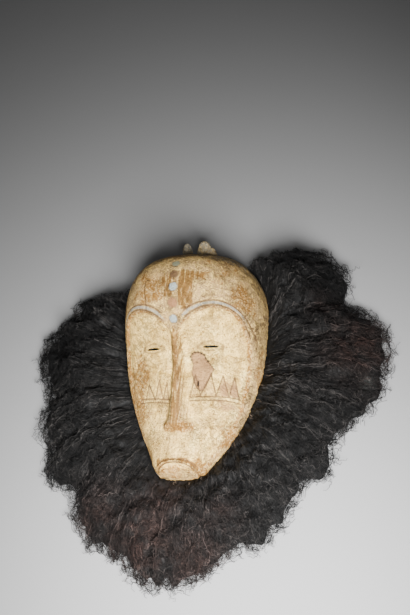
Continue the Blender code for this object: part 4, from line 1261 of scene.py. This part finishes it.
def whitened_wood(settings, groups):
    """Kaolin over wood: cream on the face, flaked and rubbed elsewhere, with ochre, lines, paint and dots."""
    material, tree, shader = new_material("whitened_wood", 0.82)
    place = object_place(tree)
    worn = groups["worn_paint"]
    wrinkles = use(tree, groups["clay_wrinkles"], Vector=place, Scale=70.0, Width=0.055)
    small = use(tree, groups["clay_wrinkles"], Vector=place, Scale=170.0, Width=0.060)
    grain = use(tree, groups["wood_grain"], Vector=place)
    kaolin = share_of(tree, "kaolin")
    rubbed = calc(tree, "SUBTRACT", 1.0, ramp(tree, kaolin, 0.3, 0.9))
    flakes = noise(tree, place, 75.0, 7.0, 2.2, 0.6)
    specks = noise(tree, place, 330.0, 3.0, 0.8)

    tan = [c * 0.66 for c in settings.beige]
    beige = mix(tree, ramp(tree, noise(tree, place, 24.0, 5.0, 0.8), 0.42, 0.66), settings.beige, tan)
    beige = mix(tree, ramp(tree, flakes, 0.47, 0.56, 0.0, 0.62), beige, settings.kaolin)
    smudged = [settings.kaolin[0] * 0.64, settings.kaolin[1] * 0.60, settings.kaolin[2] * 0.50]
    white = [settings.kaolin[0] * 1.06, settings.kaolin[1] * 1.16, settings.kaolin[2] * 1.34]
    cream = mix(tree, ramp(tree, noise(tree, place, 15.0, 5.0, 0.8), 0.50, 0.66), settings.kaolin, white)
    cream = mix(tree, ramp(tree, noise(tree, place, 34.0, 8.0, 1.4, 0.62), 0.44, 0.62), cream, smudged)
    cream = mix(tree, ramp(tree, noise(tree, place, 120.0, 6.0, 2.0, 0.62), 0.50, 0.62, 0.0, 0.62), cream, settings.beige)
    cream = mix(tree, ramp(tree, specks, 0.57, 0.65, 0.0, 0.90), cream, settings.ochre)
    uneven = calc(tree, "MULTIPLY", calc(tree, "SUBTRACT", noise(tree, place, 70.0, 5.0), 0.5), 0.6)
    colour = mix(tree, ramp(tree, calc(tree, "ADD", kaolin, uneven), 0.35, 0.75), beige, cream)

    fibre = calc(tree, "MULTIPLY", grain["Grain"], calc(tree, "ADD", calc(tree, "MULTIPLY", rubbed, 0.06), 0.20))
    colour = mix(tree, fibre, colour, settings.ochre)
    cracks = calc(tree, "MAXIMUM", wrinkles["Lines"], small["Lines"])
    cracks = calc(tree, "MULTIPLY", cracks, calc(tree, "ADD", calc(tree, "MULTIPLY", rubbed, 0.42), 0.58))
    colour = mix(tree, cracks, colour, settings.umber)
    pits = calc(tree, "MULTIPLY", rubbed, ramp(tree, specks, 0.54, 0.62, 0.0, 0.60))
    colour = mix(tree, pits, colour, settings.umber)

    ochre = use(tree, worn, Share=share_of(tree, "ochre"), Vector=place, Scale=55.0, Wear=1.5)["Share"]
    ochre_tone = mix(tree, ramp(tree, noise(tree, place, 130.0, 6.0, 1.6), 0.48, 0.62), settings.ochre, settings.beige)
    colour = mix(tree, calc(tree, "MULTIPLY", ochre, 0.9), colour, ochre_tone)
    rings = add(tree, "ShaderNodeTexWave", {"Vector": place, "Scale": 26.0, "Distortion": 22.0, "Detail": 4.0,
                                            "Detail Scale": 0.5}, wave_type="BANDS", bands_direction="DIAGONAL")
    figure = calc(tree, "MULTIPLY", ramp(tree, rings.outputs["Fac"], 0.72, 0.95), share_of(tree, "figure"))
    colour = mix(tree, calc(tree, "MULTIPLY", figure, 0.5), colour, settings.umber)
    struck = calc(tree, "MULTIPLY", share_of(tree, "streak"),
                  calc(tree, "ADD", calc(tree, "MULTIPLY", grain["Grain"], 1.0), 0.30))
    streak = ramp(tree, struck, 0.12, 0.58)
    streak_tone = mix(tree, grain["Grain"], settings.ochre, [c * 0.55 for c in settings.ochre])
    colour = mix(tree, calc(tree, "MULTIPLY", streak, 0.85), colour, streak_tone)
    rose = use(tree, worn, Share=share_of(tree, "rose"), Vector=place, Scale=80.0, Wear=0.5)["Share"]
    colour = mix(tree, calc(tree, "MULTIPLY", rose, 0.92), colour, settings.rose)
    blue = use(tree, worn, Share=share_of(tree, "blue"), Vector=place, Scale=90.0, Wear=1.0)["Share"]
    colour = mix(tree, calc(tree, "MULTIPLY", blue, 0.54), colour, settings.blue)

    centre = mask_centre()
    for paint_name, dots in DOTS.items():
        for x, y, radius in dots:
            middle = centre + Vector((x, y, float(top_over(np.array([x]), np.array([y]))[0])))
            # ring is a dark umber ring just round each dot: painted shade in place of the edge of a raised dot
            ring = use(tree, groups["painted_dot"], Vector=place, Centre=middle, Radius=radius * 1.18)["Share"]
            dot = use(tree, groups["painted_dot"], Vector=place, Centre=middle, Radius=radius * 0.95)["Share"]
            colour = mix(tree, calc(tree, "MULTIPLY", ring, 0.55), colour, settings.umber)
            colour = mix(tree, calc(tree, "MULTIPLY", dot, 0.80), colour, DOT_TONES[paint_name])

    # lines: the incised lines, and painted shade along the lid creases
    lines = use(tree, worn, Share=share_of(tree, "lines"), Vector=place, Scale=120.0, Wear=0.4)["Share"]
    colour = mix(tree, calc(tree, "MULTIPLY", lines, 0.90), colour, linear(96, 70, 44))
    # Near-black painted shade in holes, cracks and the mouth's slit
    colour = mix(tree, calc(tree, "MULTIPLY", share_of(tree, "crevice_shade"), 0.94), colour, linear(34, 25, 19))
    tree.links.new(colour, shader.inputs["Base Color"])

    raised = calc(tree, "ADD", calc(tree, "MULTIPLY", wrinkles["Height"], 0.8), calc(tree, "MULTIPLY", small["Height"], 0.4))
    raised = calc(tree, "ADD", raised, calc(tree, "MULTIPLY", grain["Height"], calc(tree, "ADD", streak, 0.4)))
    raised = calc(tree, "ADD", raised, calc(tree, "MULTIPLY", ramp(tree, flakes, 0.46, 0.60), 0.9))
    set_bump(tree, shader, raised, 0.0013)
    return material


def bare_wood(settings, groups):
    """Old unpainted wood in the hollow, on the rim and in the slits."""
    material, tree, shader = new_material("bare_wood", 0.7)
    place = object_place(tree)
    grain = use(tree, groups["wood_grain"], Vector=place, Scale=0.8)
    wood = mix(tree, grain["Grain"], settings.umber, [c * 0.5 for c in settings.umber])
    dust = ramp(tree, noise(tree, place, 26.0, 6.0, 0.6), 0.45, 0.75, 0.0, 0.45)
    tree.links.new(mix(tree, dust, wood, settings.beige), shader.inputs["Base Color"])
    set_bump(tree, shader, grain["Height"], 0.0008)
    return material


def raffia_fibre(settings, groups):
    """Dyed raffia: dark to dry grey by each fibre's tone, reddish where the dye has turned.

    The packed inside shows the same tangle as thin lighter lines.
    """
    material, tree, shader = new_material("raffia_fibre", 0.7, 0.2)
    place = object_place(tree)
    tangle = use(tree, groups["clay_wrinkles"], Vector=place, Scale=150.0, Width=0.05)
    finer = use(tree, groups["clay_wrinkles"], Vector=place, Scale=290.0, Width=0.06)
    packed = calc(tree, "MULTIPLY", share_of(tree, "packed"), calc(tree, "MAXIMUM", tangle["Lines"], finer["Lines"]))
    tone = calc(tree, "ADD", share_of(tree, "tone"), calc(tree, "MULTIPLY", packed, 0.34))
    uneven = ramp(tree, noise(tree, place, 110.0, 3.0), 0.3, 0.7, 0.45, 1.3)
    broad = ramp(tree, noise(tree, place, 16.0, 3.0), 0.35, 0.65, 0.7, 1.15)
    lit = calc(tree, "MULTIPLY", calc(tree, "MULTIPLY", tone, uneven), broad)
    grey = mix(tree, ramp(tree, lit, 0.0, 0.9), settings.dark, settings.light)
    patchy = ramp(tree, noise(tree, place, 32.0, 3.0), 0.32, 0.62, 0.25, 1.0)
    rust = calc(tree, "MULTIPLY", share_of(tree, "rust"), patchy)
    red = mix(tree, ramp(tree, lit, 0.0, 0.7), [c * 0.28 for c in settings.rust], [c * 1.5 for c in settings.rust])
    colour = mix(tree, calc(tree, "MULTIPLY", rust, 0.9), grey, red)
    colour = mix(tree, share_of(tree, "thin"), colour, linear(64, 66, 64))
    knots = ramp(tree, share_of(tree, "tone"), 0.965, 0.985)
    tree.links.new(mix(tree, knots, colour, settings.straw), shader.inputs["Base Color"])
    set_bump(tree, shader, tangle["Lines"], 0.0008)
    return material


def pale_floor(settings):
    """Matt pale floor with the faintest unevenness."""
    material, tree, shader = new_material("pale_floor", 0.9, 0.1)
    uneven = noise(tree, object_place(tree), 3.0, 2.0)
    tone = mix(tree, uneven, settings.floor, [c * 0.97 for c in settings.floor])
    tree.links.new(tone, shader.inputs["Base Color"])
    return material


def shader_groups():
    """Each shared effect, built once."""
    makers = {"worn_paint": worn_paint_group, "clay_wrinkles": wrinkle_group, "wood_grain": grain_group,
              "painted_dot": dot_group}
    return {name: bpy.data.node_groups.get(name) or maker() for name, maker in makers.items()}


# Operators
class NGIL_OT_set_stage(bpy.types.Operator):
    """Sets the floor, the lights and the camera at the photo's angle"""
    bl_idname = "ngil.set_stage"
    bl_label = "Set the stage"

    def execute(self, context):
        stage = context.scene.ngil_stage
        centre = mask_centre()
        self.add_camera(context, stage, centre)
        self.add_floor(stage, centre)
        for name, power, size, place, aim, spread in (
                ("key_light", stage.key_power, 0.65, (0.50, -0.95, 1.00), (0.02, -0.42, 0.0), 90),
                ("fill_light", stage.fill_power, 2.4, (-0.5, 0.1, 2.4), (0.0, 0.0, 0.0), 180)):
            self.add_light(name, power, size, centre + Vector(place), centre + Vector(aim), math.radians(spread))
        world = bpy.data.worlds.new("studio")
        world.use_nodes = True
        world.node_tree.nodes["Background"].inputs["Color"].default_value = (1.0, 1.0, 1.0, 1.0)
        world.node_tree.nodes["Background"].inputs["Strength"].default_value = stage.ambient
        context.scene.world = world
        return {"FINISHED"}

    def add_camera(self, context, stage, centre):
        """Columns of the camera's matrix are its right, up and back directions, rolled about back."""
        back = Vector(sight_back(stage.azimuth, stage.elevation))
        right = Vector((math.cos(stage.azimuth), math.sin(stage.azimuth), 0.0))
        up = back.cross(right)
        c, s = math.cos(stage.roll), math.sin(stage.roll)
        right, up = c * right + s * up, c * up - s * right
        eye = centre + right * stage.aim_right + up * stage.aim_up + back * stage.distance
        data = bpy.data.cameras.new("camera")
        data.sensor_fit = "VERTICAL"
        data.sensor_height = SENSOR_HEIGHT
        data.lens = stage.focal_pixels / IMAGE_HEIGHT * SENSOR_HEIGHT
        camera = bpy.data.objects.new("camera", data)
        camera.matrix_world = Matrix.Translation(eye) @ Matrix((right, up, back)).transposed().to_4x4()
        context.scene.collection.objects.link(camera)
        context.scene.camera = camera

    def add_floor(self, stage, centre):
        corners = np.array([(-5, -5), (5, -5), (5, 5), (-5, 5)], float) + np.array(centre)[:2]
        places = np.concatenate([corners, np.full((4, 1), -0.0006)], axis=1)
        floor = put("floor", new_mesh("floor", places, np.array([[0, 1, 2, 3]])), [pale_floor(stage)])

    def add_light(self, name, power, size, place, target, spread):
        """A square softbox, whose light fans out by no more than its spread."""
        data = bpy.data.lights.new(name, "AREA")
        data.energy = power
        data.size = size
        data.spread = spread
        light = bpy.data.objects.new(name, data)
        light.location = place
        light.rotation_euler = (target - place).to_track_quat("-Z", "Y").to_euler()
        bpy.context.scene.collection.objects.link(light)


class NGIL_OT_carve_mask(bpy.types.Operator):
    """Carves the wooden mask with its fine cuts, hollow and paint"""
    bl_idname = "ngil.carve_mask"
    bl_label = "Carve the mask"

    def execute(self, context):
        settings = context.scene.ngil_wood
        groups = shader_groups()
        materials = [whitened_wood(settings, groups), bare_wood(settings, groups)]
        mask = put("carved_mask", carve_wood(settings), materials)
        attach(mask, "root")
        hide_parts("mask")
        return {"FINISHED"}


class NGIL_OT_tie_raffia(bpy.types.Operator):
    """Ties the hanks of raffia round the rim"""
    bl_idname = "ngil.tie_raffia"
    bl_label = "Tie the raffia"

    def execute(self, context):
        settings = context.scene.ngil_raffia
        fibre = raffia_fibre(settings, shader_groups())
        centre = mask_centre()
        for number, hank in enumerate(HANKS, start=1):
            piece = put("raffia_%02d" % number, make_hank(number, hank, settings, centre), [fibre])
            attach(piece, "root")
            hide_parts("raffia_hank_%02d" % number)
        return {"FINISHED"}


class NGIL_PT_panel(bpy.types.Panel):
    """Lists the mask's operators and settings"""
    bl_idname = "NGIL_PT_panel"
    bl_label = "Ngil mask"
    bl_space_type = "VIEW_3D"
    bl_region_type = "UI"
    bl_category = "Ngil mask"

    def draw(self, context):
        for operator, settings in (("ngil.set_stage", context.scene.ngil_stage),
                                   ("ngil.carve_mask", context.scene.ngil_wood),
                                   ("ngil.tie_raffia", context.scene.ngil_raffia)):
            box = self.layout.box()
            box.operator(operator)
            for name in settings.__annotations__:
                box.prop(settings, name)


CLASSES = (NgilWoodSettings, NgilRaffiaSettings, NgilStageSettings, NGIL_OT_set_stage, NGIL_OT_carve_mask,
           NGIL_OT_tie_raffia, NGIL_PT_panel)


def register():
    for item in CLASSES:
        bpy.utils.register_class(item)
    bpy.types.Scene.ngil_wood = PointerProperty(type=NgilWoodSettings)
    bpy.types.Scene.ngil_raffia = PointerProperty(type=NgilRaffiaSettings)
    bpy.types.Scene.ngil_stage = PointerProperty(type=NgilStageSettings)


def unregister():
    for name in ("ngil_wood", "ngil_raffia", "ngil_stage"):
        delattr(bpy.types.Scene, name)
    for item in reversed(CLASSES):
        bpy.utils.unregister_class(item)


def main():
    register()
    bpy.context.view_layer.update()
    bpy.ops.ngil.set_stage()
    bpy.ops.ngil.carve_mask()
    bpy.ops.ngil.tie_raffia()


if __name__ == "__main__":
    main()
